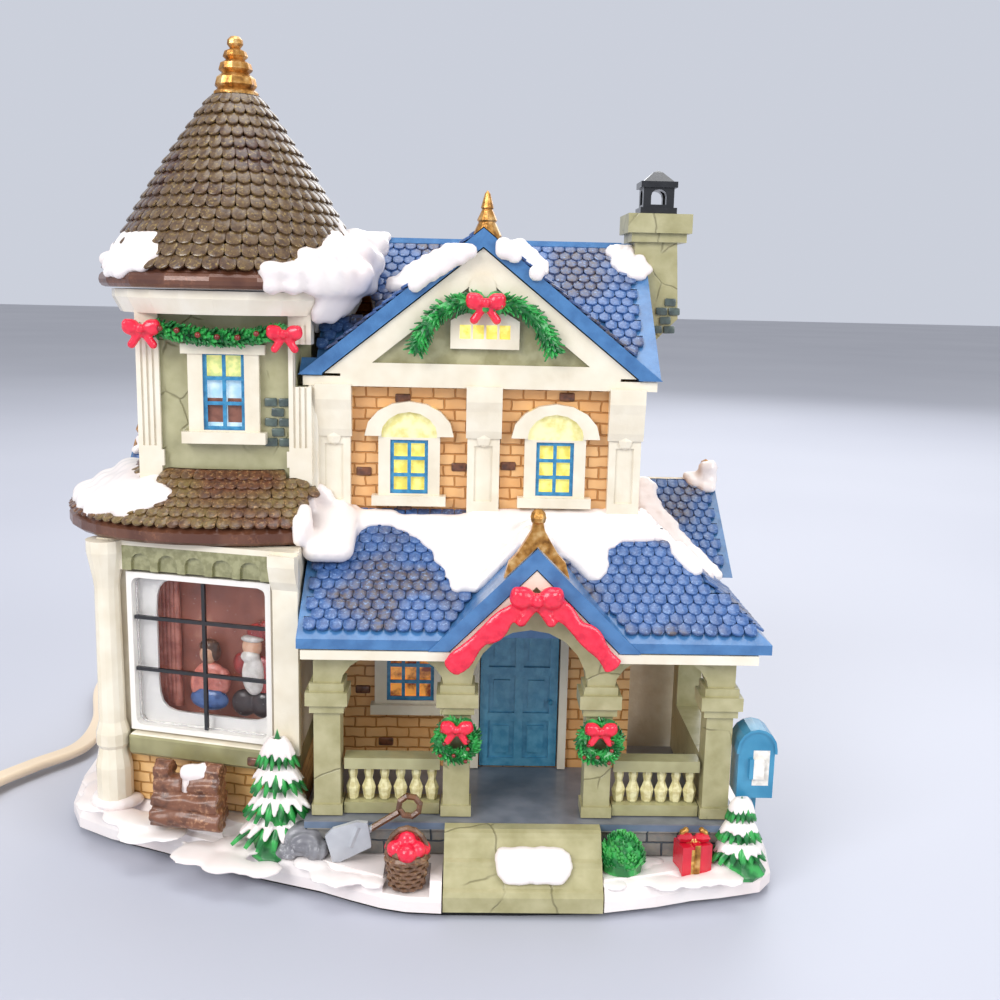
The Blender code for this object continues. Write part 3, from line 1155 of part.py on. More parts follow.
def make_lower_columns():
    """Left corner column, right pilaster and the arched frieze that joins them."""
    back = TOWER_WALL * 0.3
    band = block((-FACET_HALF + 0.0008, FACET_HALF + 0.0008), (-0.0032, back), (FRIEZE_BOTTOM_Z,
                                                                                LOWER_TOP_Z))
    arches = []
    start = PICTURE_LEFT + 0.0014
    pitch = (PICTURE_RIGHT - 0.0014 - start) / FRIEZE_ARCHES
    for i in range(FRIEZE_ARCHES):
        centre = start + pitch * (i + 0.5)
        arches.append(plate("XZ", (-0.0040, -0.0024), arched(
            centre, pitch * 0.36, FRIEZE_BOTTOM_Z - 0.001, FRIEZE_BOTTOM_Z + 0.0022,
            FRIEZE_BOTTOM_Z + 0.0044, 6)))
    band = cut(band, *arches)
    centre = COLUMN_X
    low = GROUND
    top = LOWER_TOP_Z - 0.0003
    radius = COLUMN_RADIUS
    profile = [
        (0, top), (radius * 1.12, top), (radius * 1.12, top - 0.0030), (radius * 0.80, top - 0.0100),
        (radius * 0.74, top - 0.0120), (radius * 0.80, low + 0.0220), (radius, low + 0.0190),
        (radius, low + 0.0160), (radius * 0.86, low + 0.0150), (COLUMN_FOOT, low + 0.0100),
        (COLUMN_FOOT, low), (0, low),
    ]
    column = turned(profile, (centre, -COLUMN_RADIUS * 0.66, 0), 14)
    pilaster = block((PICTURE_RIGHT + 0.0008, FACET_HALF + 0.0010), (-0.0034, back + 0.0002),
                     (PICTURE_BOTTOM_Z - 0.0010, top - 0.0004))
    console = plate("YZ", (PICTURE_RIGHT + 0.0006, FACET_HALF + 0.0012), [
        (back - 0.0002, top - 0.0002), (-0.0056, top - 0.0002), (-0.0056, top - 0.0030), (-0.0046,
                                                                                          top - 0.0068),
        (-0.0032, top - 0.0094), (back - 0.0002, top - 0.0094),
    ])
    columns = moved(joined(band, column, pilaster, console), FACET)
    inside = plate("XY", (GROUND - 0.01, LOWER_TOP_Z + 0.01), tower_outline(-CLEARANCE))
    main = block((TOWER_RIGHT + CLEARANCE, 0), (-0.1, 0.1), (0, 0.2))
    keep("tower_lower_columns", cut(columns, inside, main), CREAM)


def make_picture_window():
    """White tray with a rounded mouth, its clear front, black bars and two small figures."""
    across = (PICTURE_LEFT + CLEARANCE, PICTURE_RIGHT - CLEARANCE)
    high = (PICTURE_BOTTOM_Z + CLEARANCE, PICTURE_TOP_Z - CLEARANCE)
    front = -0.0022
    tray = block(across, (front, front + LINER_DEPTH), high)
    inner_x = (across[0] + LINER_WALL, across[1] - LINER_WALL)
    inner_z = (high[0] + LINER_WALL, high[1] - LINER_WALL)
    hollow = plate("XZ", (front - 0.004, front + LINER_DEPTH - LINER_WALL),
                   rounded_rectangle(inner_x, inner_z, LINER_CORNER))
    keep("window_liner", moved(cut(tray, hollow), FACET), CREAM)

    pane_x = (inner_x[0] + CLEARANCE, inner_x[1] - CLEARANCE)
    pane_z = (inner_z[0] + CLEARANCE, inner_z[1] - CLEARANCE)
    pane_front = front + 0.0016
    pane = plate("XZ", (pane_front, pane_front + GLASS_THICKNESS),
                 rounded_rectangle(pane_x, pane_z, LINER_CORNER))
    keep("window_glazing", moved(pane, FACET), CLEAR)

    bar_back = pane_front - CLEARANCE
    bar_deep = (bar_back - 0.0008, bar_back)
    bar_x = (pane_x[0] + pane_x[1]) / 2 + 0.0012
    upright = block((bar_x - BAR_WIDTH / 2, bar_x + BAR_WIDTH / 2), bar_deep, pane_z)
    crossbars = [
        block(pane_x, bar_deep, (z - BAR_WIDTH / 2, z + BAR_WIDTH / 2))
        for z in (pane_z[0] + (pane_z[1] - pane_z[0]) * share for share in CROSSBAR_SHARES)
    ]
    keep("window_bars", moved(joined(upright, *crossbars), FACET), BLACK)

    floor = inner_z[0] + CLEARANCE
    middle = pane_front + GLASS_THICKNESS + 0.0050
    ledge = block((inner_x[0] + 0.0020, inner_x[1] - 0.0020), (middle - 0.0030, middle + 0.0030),
                  (floor, floor + 0.0020))
    figures = []
    for x, height, girth in ((-0.0010, 0.0190, 0.0034), (0.0110, 0.0245, 0.0038)):
        body = turned([(0, height), (girth * 0.55, height), (girth * 0.85, height * 0.72),
                       (girth * 0.75, height * 0.45),
                       (girth, height * 0.10), (girth, 0), (0, 0)], (x, middle, floor + 0.0015), 8)
        head = ball((x, middle, floor + height + girth * 0.55), (girth * 0.60, girth * 0.60,
                                                                 girth * 0.72), 8, 6)
        figures += [body, head]
    keep("window_figures", moved(joined(ledge, *figures), FACET), RED)


# Skirt roof
def superellipse(half_width, half_depth, power, count):
    points = []
    for i in range(count):
        angle = 2 * math.pi * i / count
        c, s = math.cos(angle), math.sin(angle)
        points.append((math.copysign(half_width * abs(c) ** (2 / power), c),
                       math.copysign(half_depth * abs(s) ** (2 / power), s)))
    return points


def make_skirt_roof():
    """Tiled courses lofted from a round eave up to the square upper tower."""
    count = 36
    rim_z = SKIRT_EAVE_Z + RIM_RADIUS
    rings = [(0.97, SKIRT_EAVE_Z), (1.0, SKIRT_EAVE_Z + RIM_RADIUS * 0.4), (1.0, rim_z + RIM_RADIUS * 0.5)]
    for course in range(SKIRT_COURSES):
        start = course / SKIRT_COURSES
        end = (course + 1) / SKIRT_COURSES
        low_z = rim_z + RIM_RADIUS * 0.8 + (SKIRT_TOP_Z - rim_z - RIM_RADIUS * 0.8) * start
        high_z = rim_z + RIM_RADIUS * 0.8 + (SKIRT_TOP_Z - rim_z - RIM_RADIUS * 0.8) * end
        share = 0.975 - (0.975 - SKIRT_TOP_SHARE) * start
        next_share = 0.975 - (0.975 - SKIRT_TOP_SHARE) * end
        rings.append((share, low_z))
        rings.append((next_share + COURSE_STEP / SKIRT_HALF_WIDTH, high_z - COURSE_STEP * 0.3))
    bm = bmesh.new()
    loops = []
    for share, z in rings:
        power = 2.2 + 1.6 * (1 - share)
        outline = superellipse(SKIRT_HALF_WIDTH * share, SKIRT_HALF_DEPTH * share, power, count)
        drift = (1 - share) / (1 - SKIRT_TOP_SHARE)
        centre_x = SKIRT_CENTRE[0] + (AXIS_X - SKIRT_CENTRE[0]) * drift
        centre_y = SKIRT_CENTRE[1] + (AXIS_Y - SKIRT_CENTRE[1]) * drift
        loops.append([bm.verts.new((centre_x + x, centre_y + y, z)) for x, y in outline])
    for lower, upper in zip(loops, loops[1:]):
        for i in range(count):
            j = (i + 1) % count
            bm.faces.new((lower[i], lower[j], upper[j], upper[i]))
    bm.faces.new(list(reversed(loops[0])))
    bm.faces.new(loops[-1])
    skirt = from_bmesh(bm)
    pocket = UPPER_HALF + CORNER_COLUMN * 0.25 + CLEARANCE
    upper = block((AXIS_X - pocket, AXIS_X + pocket), (AXIS_Y - pocket, AXIS_Y + pocket),
                  (UPPER_BOTTOM_Z - CLEARANCE, 0.2))
    main = block((TOWER_RIGHT + CLEARANCE, 0.1), (-0.1, 0.1), (0, 0.2))
    bay = block((-0.2, 0.1), (TOWER_BACK + 0.0016, 0.1), (0, 0.2))
    keep("skirt_roof", cut(skirt, upper, main, bay), BRONZE)


# Upper tower
UPPER_FRONT = AXIS_Y - UPPER_HALF
UPPER_RIGHT = MAIN_LEFT - CLEARANCE


def roof_corner_gap():
    """Room for the roof's front corner and the cornice, which run across the tower."""
    return block((ROOF_LEFT - VERGE_LAP - CLEARANCE, 0.1), (-0.1, MAIN_FRONT + WALL),
                 (CORNICE_BOTTOM_Z - CLEARANCE, ROOF_EAVE_Z + 0.0070))


def make_upper_tower():
    left = AXIS_X - UPPER_HALF
    back = AXIS_Y + UPPER_HALF
    right = min(AXIS_X + UPPER_HALF, UPPER_RIGHT)
    walls = block((left, right), (UPPER_FRONT, back), (UPPER_BOTTOM_Z, UPPER_TOP_Z))
    hollow = block((left + UPPER_WALL, right - UPPER_WALL), (UPPER_FRONT + UPPER_WALL, back - UPPER_WALL),
                   (UPPER_BOTTOM_Z + UPPER_WALL, UPPER_TOP_Z + 0.01))
    window = block((AXIS_X - TOWER_WINDOW_WIDTH / 2 - CLEARANCE,
                    AXIS_X + TOWER_WINDOW_WIDTH / 2 + CLEARANCE),
                   (UPPER_FRONT - 0.01, UPPER_FRONT + UPPER_WALL * 1.5),
                   (TOWER_WINDOW_BOTTOM_Z - CLEARANCE,
                    TOWER_WINDOW_BOTTOM_Z + TOWER_WINDOW_HEIGHT + CLEARANCE))
    keep("tower_upper_wall", cut(walls, hollow, window, roof_corner_gap()), SAGE)

    face = UPPER_FRONT - CLEARANCE
    centre = AXIS_X
    half = TOWER_WINDOW_WIDTH / 2
    top = TOWER_WINDOW_BOTTOM_Z + TOWER_WINDOW_HEIGHT
    hole = rectangle((centre - half, centre + half), (TOWER_WINDOW_BOTTOM_Z, top))
    frame = plate("XZ", (face - 0.0018, face),
                  rectangle((centre - half - 0.0036, centre + half + 0.0036),
                            (TOWER_WINDOW_BOTTOM_Z - 0.001, top + 0.0018)), hole)
    sill = block((centre - half - 0.0052, centre + half + 0.0052), (face - 0.0030, face),
                 (TOWER_WINDOW_BOTTOM_Z - 0.0033, TOWER_WINDOW_BOTTOM_Z - 0.0004))
    ears = block((centre - half - 0.0052, centre + half + 0.0052), (face - 0.0022, face),
                 (top - 0.0006, top + 0.0018))
    glazing = sash(centre, TOWER_WINDOW_WIDTH, TOWER_WINDOW_BOTTOM_Z, TOWER_WINDOW_HEIGHT, 2, 3,
                   face - 0.0010)
    keep("tower_window", joined(frame, sill, ears, *glazing), CREAM)


def make_upper_columns():
    """Fluted corner columns under a round cornice that carries the cone roof."""
    outer = UPPER_HALF + CORNER_COLUMN * 0.25
    wall = UPPER_HALF + CLEARANCE
    cornice = turned([
        (0, RIM_Z - RIM_RADIUS - CLEARANCE), (CORNICE_RADIUS, RIM_Z - RIM_RADIUS - CLEARANCE),
        (CORNICE_RADIUS, RIM_Z - RIM_RADIUS - 0.0022), (CORNICE_RADIUS - 0.0020, UPPER_TOP_Z + CLEARANCE),
        (0, UPPER_TOP_Z + CLEARANCE),
    ], (AXIS_X, AXIS_Y, 0), 24)
    corners = []
    for side_x in (-1, 1):
        for side_y in (-1, 1):
            inner_x, outer_x = AXIS_X + side_x * (outer - CORNER_COLUMN), AXIS_X + side_x * outer
            inner_y, outer_y = AXIS_Y + side_y * (outer - CORNER_COLUMN), AXIS_Y + side_y * outer
            shaft = block(sorted((inner_x, outer_x)), sorted((inner_y, outer_y)),
                          (UPPER_BOTTOM_Z, UPPER_TOP_Z + 0.001))
            grow = 0.0006
            foot_x = sorted((inner_x - side_x * grow, outer_x))
            foot_y = sorted((inner_y - side_y * grow, outer_y))
            foot = block(foot_x, foot_y, (SKIRT_TOP_Z, SKIRT_TOP_Z + 0.0040))
            flutes = [
                block((x - 0.0003, x + 0.0003), (AXIS_Y - outer - 0.001, AXIS_Y - outer + 0.0005),
                      (SKIRT_TOP_Z + 0.0050, UPPER_TOP_Z - 0.0020))
                for x in (inner_x + (outer_x - inner_x) * share for share in (0.25, 0.5, 0.75))
            ] if side_y < 0 else []
            column = joined(shaft, foot)
            corners.append(cut(column, *flutes) if flutes else column)
    columns = joined(cornice, *corners)
    core = block((AXIS_X - wall, AXIS_X + wall), (AXIS_Y - wall, AXIS_Y + wall),
                 (UPPER_BOTTOM_Z - 0.01, UPPER_TOP_Z + CLEARANCE))
    main = block((UPPER_RIGHT, 0.1), (MAIN_FRONT - CLEARANCE, 0.1), (0, UPPER_TOP_Z))
    trim_front = block((PILASTER_LEFTS[0] - 0.0004 - CLEARANCE, 0.1), (-0.1, 0.1), (0, CORNICE_BOTTOM_Z))
    keep("tower_upper_columns", cut(columns, core, main, roof_corner_gap(), trim_front), CREAM)


def make_cone_roof():
    """Round cone of tiled courses over a half-round rim."""
    rise = CONE_TOP_Z - RIM_Z - RIM_RADIUS
    profile = [(0, CONE_TOP_Z), (CONE_TOP_RADIUS, CONE_TOP_Z)]
    for course in range(CONE_COURSES):
        end = (course + 1) / CONE_COURSES
        z = CONE_TOP_Z - rise * end
        edge = cone_radius(end)
        profile.append((edge, z + COURSE_STEP * 0.25))
        if course < CONE_COURSES - 1:
            profile.append((edge - COURSE_STEP, z - COURSE_STEP * 0.1))
    rim = CONE_RADIUS + RIM_RADIUS * 0.1
    for step in range(7):
        angle = math.pi / 2 - math.pi * step / 6
        profile.append((rim + RIM_RADIUS * 0.8 * math.cos(angle),
                        RIM_Z + RIM_RADIUS * 0.95 * math.sin(angle)))
    profile.append((0, RIM_Z - RIM_RADIUS * 0.95))
    keep("cone_roof", turned(profile, (AXIS_X, AXIS_Y, 0), 20), BRONZE)

    low = CONE_TOP_Z + CLEARANCE
    shape = [
        (0, 1.0), (0.20, 0.985), (0.34, 0.93), (0.36, 0.86), (0.22, 0.79), (0.48, 0.74), (0.56, 0.66),
        (0.40, 0.60),
        (0.68, 0.54), (0.76, 0.44), (0.58, 0.38), (0.86, 0.30), (0.94, 0.18), (0.80, 0.12), (1.0,
                                                                                             0.06), (1.0, 0), (0, 0),
    ]
    finial = turned([(r * CONE_TOP_RADIUS * 1.04, low + z * FINIAL_HEIGHT) for r, z in shape], (AXIS_X,
                                                                                                AXIS_Y, 0), 12)
    keep("tower_finial", finial, GOLD)


def make_tower_garland():
    """Swag between the corner columns with berries and a bow at each end."""
    face = AXIS_Y - UPPER_HALF - CORNER_COLUMN * 0.25 - CLEARANCE
    thick = 0.0023
    middle = face - thick
    path = smooth_loop([(-0.0628, middle, 0.1332), (-0.0545, middle, 0.1318), (-0.0464, middle, 0.1308),
                        (-0.0385, middle, 0.1314), (-0.0310, middle, 0.1326)], 2, closed=False)
    swag = tube(path, thick, 1)
    berries = [
        ball((x, middle - thick, z), (0.0009, 0.0009, 0.0009), 6, 4)
        for x, z in ((-0.0560, 0.1326), (-0.0464, 0.1312), (-0.0370, 0.1322))
    ]
    bows = []
    for x in (-0.0655, -0.0298):
        for side in (-1, 1):
            bows.append(ball((x + side * 0.0007, middle - 0.0002, 0.1317 + side * 0.0018),
                             (0.0029, 0.0023, 0.0026), 6, 4))
    keep("tower_garland", joined(swag, *bows, *berries), GREEN)


def make_gable_garland():
    """Two fir sprays hanging from a bow at the top of the pediment."""
    thick = 0.0018
    middle = TRIM_FRONT - CLEARANCE - thick
    centre = MAIN_MIDDLE_X + 0.0008
    sprays = [
        tube(smooth_loop([(centre + side * 0.0010, middle, 0.1412), (centre + side * 0.0085, middle,
                                                                     0.1398),
                          (centre + side * 0.0140, middle, 0.1352), (centre + side * 0.0172, middle,
                                                                     0.1285)],
                         2, closed=False), thick, 1)
        for side in (-1, 1)
    ]
    loops = [
        ball((centre + side * 0.0024, middle - 0.0006, 0.1406), (0.0025, 0.0018, 0.0031), 8, 6)
        for side in (-1, 1)
    ]
    knot = ball((centre, middle - 0.0016, 0.1400), (0.0015, 0.0014, 0.0018), 6, 4)
    keep("gable_garland", joined(sprays[0], sprays[1], *loops, knot), GREEN)


# Yard pieces
def make_log_pile(bed):
    radius = 0.0023
    logs = []
    for row, count in enumerate((2, 2, 2, 2)):
        for i in range(count):
            y = -0.0448 + i * radius * 1.55 * (1 if row < 3 else 0.2)
            z = GROUND + radius * 0.60 + row * radius * 1.72
            length = 0.0082 - 0.0004 * row
            logs.append(tube([(-0.0535 - length, y, z), (-0.0535 + length, y + 0.0006, z)], radius, 2))
    pile = joined(logs[0], *logs[1:])
    wall = moved(block((-0.05, 0.05), (-CLEARANCE, 0.05), (0, 0.1)), FACET)
    sill = moved(block((PICTURE_LEFT - 0.0030, PICTURE_RIGHT + 0.0020), (-SILL_DEPTH - CLEARANCE, 0.01),
                       (PICTURE_BOTTOM_Z - SILL_HEIGHT - 0.0010, 0.1)), FACET)
    keep("log_pile", cut(pile, wall, sill, copy_of(bed)), BARK)


def tree(centre, radii, bottom, top, tiers):
    """Tiers of drooping branches that narrow towards the tip."""
    profile = [(0, top)]
    for tier in range(tiers):
        share = (tier + 1) / tiers
        z = top - (top - bottom) * share
        profile.append((share, z + (top - bottom) * 0.07))
        if tier < tiers - 1:
            profile.append((share * 0.72, z + (top - bottom) * 0.01))
    profile += [(0.85, bottom), (0, bottom)]
    shape = turned([(r, z - bottom) for r, z in profile], (0, 0, 0), 12)
    return moved(shape, Matrix.Translation((*centre, bottom)) @ Matrix.Diagonal((*radii, 1, 1)))


def make_yard(bed):
    pine = tree((-0.0305, -0.0505), (0.0072, 0.0060), YARD - BEDDED, 0.0386, 4)
    wall = moved(block((-0.05, 0.05), (-SILL_DEPTH - CLEARANCE * 2, 0.05), (0, 0.1)), FACET)
    porch = block((MAIN_LEFT, 0.1), (PLINTH_FRONT - NOSING - CLEARANCE, 0), (0, 0.2))
    keep("pine_left", cut(pine, wall, porch, copy_of(bed)), GREEN)

    pine = tree((0.0818, -0.0568), (0.0070, 0.0046), YARD - BEDDED, 0.0255, 3)
    corner = block((0, PLINTH_RIGHT + NOSING + CLEARANCE), (PLINTH_FRONT - NOSING - CLEARANCE, 0), (0, 0.2))
    keep("pine_right", cut(pine, corner, copy_of(bed)), GREEN)

    stones = joined(
        ball((-0.0238, -0.0535, YARD + 0.0032), (0.0052, 0.0036, 0.0058), 9, 6),
        ball((-0.0262, -0.0510, YARD + 0.0020), (0.0034, 0.0030, 0.0040), 6, 4),
        ball((-0.0205, -0.0562, YARD + 0.0014), (0.0030, 0.0026, 0.0034), 6, 4),
    )
    pine_gap = tree((-0.0305, -0.0505), (0.0078, 0.0066), YARD - BEDDED, 0.0386, 4)
    porch = block((MAIN_LEFT - CLEARANCE, 0.1), (PLINTH_FRONT - NOSING - CLEARANCE, 0), (0, 0.2))
    keep("boulders", cut(stones, pine_gap, porch, copy_of(bed)), SLATE)

    # Snow shovel leaning back against the plinth
    lean = Matrix.Translation((-0.0110, -0.0590, YARD)) @ Matrix.Rotation(math.radians(-14), 4, "Y")
    blade = plate("XZ", (-0.0006, 0.0006), [
        (-0.0050, 0.0004), (0.0050, 0.0028), (0.0054, 0.0090), (0.0030, 0.0098), (-0.0030, 0.0094),
        (-0.0052, 0.0080),
    ])
    rib = tube([(0.0000, 0, 0.0040), (0.0030, 0, 0.0085)], 0.0010, 1)
    shaft = tube([(0.0000, 0.0004, 0.0050), (0.0130, 0.0012, 0.0092)], 0.0008, 1)
    grip = ring((0.0158, 0.0014, 0.0100), 0.0026, 0.0008, 8)
    shovel = moved(joined(blade, rib, shaft, grip), lean)
    keep("shovel", cut(shovel, copy_of(bed)), CREAM)

    make_basket()

    bush = ball((0.0528, -0.0612, YARD + 0.0022), (0.0052, 0.0044, 0.0066), 12, 8)
    keep("boxwood", cut(bush, copy_of(bed),
                        block((0, 0.1), (PLINTH_FRONT - NOSING - CLEARANCE, 0), (0, 0.2)),
                        block((0, STEP_RIGHT + CLEARANCE * 2), (-0.1, 0), (0, 0.2))), GREEN)

    turn = Matrix.Rotation(math.radians(14), 4, "Z")
    box = block((0.0662, 0.0738), (-0.0622, -0.0568), (YARD - BEDDED, YARD + 0.0062), turn)
    band = block((0.0692, 0.0708), (-0.0624, -0.0566), (YARD - BEDDED, YARD + 0.0066), turn)
    loops = [
        ball((0.0700 + side * 0.0020, -0.0599, YARD + 0.0074), (0.0022, 0.0012, 0.0013), 6, 4)
        for side in (-1, 1)
    ]
    knot = ball((0.0700, -0.0599, YARD + 0.0068), (0.0010, 0.0010, 0.0010), 6, 4)
    gift = joined(box, band, knot, *loops)
    keep("gift_box", cut(gift, copy_of(bed), block((0, 0.1), (PLINTH_FRONT - NOSING - CLEARANCE, 0),
                                                   (0, 0.2))), RED)

    post = block((0.0846, 0.0866), (-0.0515, -0.0495), (YARD, 0.0245))
    outline = arched(0.0854, 0.0044, 0.0238, 0.0362, 0.0410, 8)
    box = plate("XZ", (-0.0542, -0.0468), outline)
    hood = cut(plate("XZ", (-0.0546, -0.0464), arched(0.0854, 0.0049, 0.0352, 0.0362, 0.0415, 8)),
               plate("XZ", (-0.0700, -0.0300), arched(0.0854, 0.0043, 0.0300, 0.0360, 0.0408, 8)))
    letter = block((0.0836, 0.0872), (-0.0552, -0.0540), (0.0290, 0.0340))
    keep("mailbox", joined(box, post, hood, letter), DOOR_BLUE)


def make_basket():
    """Tapered basket heaped with apples, under a hoop handle."""
    low = BASKET_BOTTOM_Z
    rim = low + BASKET_HEIGHT
    centre = (BASKET_X, BASKET_Y, 0)
    basket = turned([(0, rim - 0.0004), (BASKET_RADIUS * 0.92, rim), (BASKET_RADIUS, rim - 0.0008),
                     (BASKET_RADIUS * 0.90, rim - 0.0014), (BASKET_RADIUS * 0.66, low), (0, low)],
                     centre, 12)
    apples = [ball((BASKET_X, BASKET_Y, rim + 0.0012), (0.0020, 0.0020, 0.0019), 6, 4)]
    for i in range(5):
        angle = 2 * math.pi * i / 5 + 0.3
        apples.append(ball((BASKET_X + 0.0028 * math.cos(angle), BASKET_Y + 0.0028 * math.sin(angle),
                            rim + 0.0003),
                           (0.0019, 0.0019, 0.0018), 6, 4))
    hoop = [
        (BASKET_X + BASKET_RADIUS * 0.92 * math.cos(math.pi * i / 8), BASKET_Y,
         rim - 0.0008 + BASKET_HEIGHT * 0.78 * math.sin(math.pi * i / 8))
        for i in range(9)
    ]
    keep("apple_basket", joined(basket, tube(hoop, 0.0007, 1), *apples), BARK)


# Lamp
ALONG_Y = Matrix.Rotation(-math.pi / 2, 4, "X")
SOCKET_FRONT = MAIN_BACK - SOCKET_INSIDE
SOCKET_BACK = SOCKET_FRONT + SOCKET_LENGTH
FLANGE_FRONT = MAIN_BACK + CLEARANCE
GRIP_FRONT = SOCKET_BACK + CLEARANCE
CORD_START = GRIP_FRONT + GRIP_LENGTH
LAMP = (LAMP_X, MAIN_BACK, LAMP_Z)


def turned_back(profile, steps=16, x=LAMP_X, z=LAMP_Z):
    """A profile of (radius, y) pairs turned round the lamp's axis."""
    return turned(profile, (x, 0, z), steps, ALONG_Y)


def make_lamp():
    socket = turned_back([
        (0, SOCKET_BACK), (SOCKET_RADIUS * 0.80, SOCKET_BACK), (SOCKET_RADIUS, SOCKET_BACK - 0.0030),
        (SOCKET_RADIUS, SOCKET_FRONT), (SOCKET_RADIUS - SOCKET_WALL, SOCKET_FRONT),
        (BULB_BASE_RADIUS + CLEARANCE, SOCKET_FRONT + 0.0008),
        (BULB_BASE_RADIUS + CLEARANCE, SOCKET_FRONT + BULB_BASE_LENGTH + CLEARANCE),
        (0, SOCKET_FRONT + BULB_BASE_LENGTH + CLEARANCE),
    ])
    keep("lamp_socket", socket, IVORY, LAMP)

    clear = SOCKET_RADIUS + CLEARANCE
    ring_plate = turned_back([
        (clear, FLANGE_FRONT + FLANGE_THICKNESS), (FLANGE_RADIUS, FLANGE_FRONT + FLANGE_THICKNESS),
        (FLANGE_RADIUS, FLANGE_FRONT), (LAMP_HOLE_RADIUS - CLEARANCE * 2, FLANGE_FRONT),
        (LAMP_HOLE_RADIUS - CLEARANCE * 2, FLANGE_FRONT - WALL), (LAMP_HOLE_RADIUS - 0.0014,
                                                                  FLANGE_FRONT - WALL),
        (clear, FLANGE_FRONT), (clear, FLANGE_FRONT + FLANGE_THICKNESS),
    ], 18)
    wings = []
    for side in (-1, 1):
        profile = [
            (clear + 0.0006, FLANGE_FRONT + 0.0006), (clear + 0.0018, FLANGE_FRONT + 0.0006),
            (LAMP_HOLE_RADIUS - 0.0009, FLANGE_FRONT - WALL - 0.0020),
            (clear + 0.0010, FLANGE_FRONT - WALL - 0.0110), (clear + 0.0002, FLANGE_FRONT - WALL - 0.0106),
            (LAMP_HOLE_RADIUS - 0.0020, FLANGE_FRONT - WALL - 0.0022),
        ]
        wings.append(plate("YZ", (LAMP_X - CLIP_WING, LAMP_X + CLIP_WING),
                           [(y, LAMP_Z + side * radius) for radius, y in profile]))
    hollow = turned_back([(0, SOCKET_BACK), (clear, SOCKET_BACK), (clear, SOCKET_FRONT - 0.01), (0,
                                                                                                 SOCKET_FRONT - 0.01)], 18)
    keep("lamp_clip", cut(joined(ring_plate, *wings), hollow), STEEL, LAMP)

    grip = turned_back([
        (0, CORD_START), (CORD_WIDTH * 0.62, CORD_START), (CORD_WIDTH * 0.80,
                                                           CORD_START - GRIP_LENGTH * 0.5),
        (CORD_WIDTH * 1.0, GRIP_FRONT), (0, GRIP_FRONT),
    ], 12)
    keep("cord_grip", grip, IVORY, LAMP)

    base_back = SOCKET_FRONT + BULB_BASE_LENGTH
    base = [(0, base_back), (BULB_BASE_RADIUS * 0.45, base_back), (BULB_BASE_RADIUS, base_back - 0.0030)]
    for thread in range(3):
        y = base_back - 0.0036 - thread * 0.0034
        base += [(BULB_BASE_RADIUS, y), (BULB_BASE_RADIUS * 0.90, y - 0.0013)]
    base += [(BULB_BASE_RADIUS, SOCKET_FRONT + 0.0004), (BULB_BASE_RADIUS,
                                                         SOCKET_FRONT + CLEARANCE - 0.0020),
             (0, SOCKET_FRONT + CLEARANCE - 0.0020)]
    keep("bulb_base", turned_back(base, 12), BRASS, LAMP)

    glass_back = SOCKET_FRONT - 0.0020
    glass = [(0, glass_back), (BULB_BASE_RADIUS * 1.1, glass_back)]
    for share, width in ((0.10, 0.72), (0.25, 0.95), (0.38, 1.0), (0.55, 0.90), (0.72, 0.66), (0.86,
                                                                                               0.38), (0.96, 0.14)):
        glass.append((BULB_RADIUS * width, glass_back - BULB_LENGTH * share))
    glass.append((0, glass_back - BULB_LENGTH))
    keep("bulb", turned_back(glass, 14), WARM_GLASS, LAMP)


# Cord: hand-chosen route of the free stretch, then a piled coil
ROUTE = [
    (LAMP_X, CORD_START + CLEARANCE, LAMP_Z),
    (LAMP_X, CORD_START + 0.0100, LAMP_Z - 0.0002),
    (-0.0060, 0.0880, 0.0405),
    (-0.0300, 0.1060, 0.0350),
    (-0.0620, 0.1160, 0.0240),
    (-0.0950, 0.1140, 0.0110),
    (-0.1120, 0.0960, 0.0042),
    (-0.1128, 0.0720, 0.0031),
    (-0.1040, 0.0420, 0.0031),
    (-0.1030, 0.0200, 0.0031),
    (-0.1120, 0.0060, 0.0031),
    (-0.1200, -0.0080, 0.0031),
]


def coil_points():
    """Loops that spiral in and out again, one layer above the other."""
    radius = CORD_WIDTH / 2
    pitch = CORD_WIDTH + COIL_GAP
    floor = radius + CLEARANCE
    steps = round(COIL_TURNS * POINTS_PER_TURN)
    points = []
    for i in range(steps + 1):
        turns = i / POINTS_PER_TURN
        layer = min(int(turns / COIL_TURNS_PER_LAYER), COIL_LAYERS - 1)
        within = turns - layer * COIL_TURNS_PER_LAYER
        inward = within if layer % 2 == 0 else COIL_TURNS_PER_LAYER - within
        spiral = COIL_OUTER - pitch * inward
        climb = layer
        to_next = COIL_TURNS_PER_LAYER - within
        if layer < COIL_LAYERS - 1 and to_next < 0.25:
            climb += 0.5 - 2 * to_next
        if layer > 0 and within < 0.25:
            climb += 2 * within - 0.5
        angle = COIL_START - 2 * math.pi * turns
        points.append((COIL_CENTRE[0] + spiral * math.cos(angle), COIL_CENTRE[1] + spiral * math.sin(angle),
                       floor + pitch * climb))
    return points


def least_gap(points):
    """Smallest distance between parts of the coil more than half a turn apart, less the cord's width."""
    least = 1.0
    vectors = [Vector(point) for point in points]
    for i, first in enumerate(vectors):
        for second in vectors[i + POINTS_PER_TURN // 2:]:
            least = min(least, (second - first).length)
    return least - CORD_WIDTH


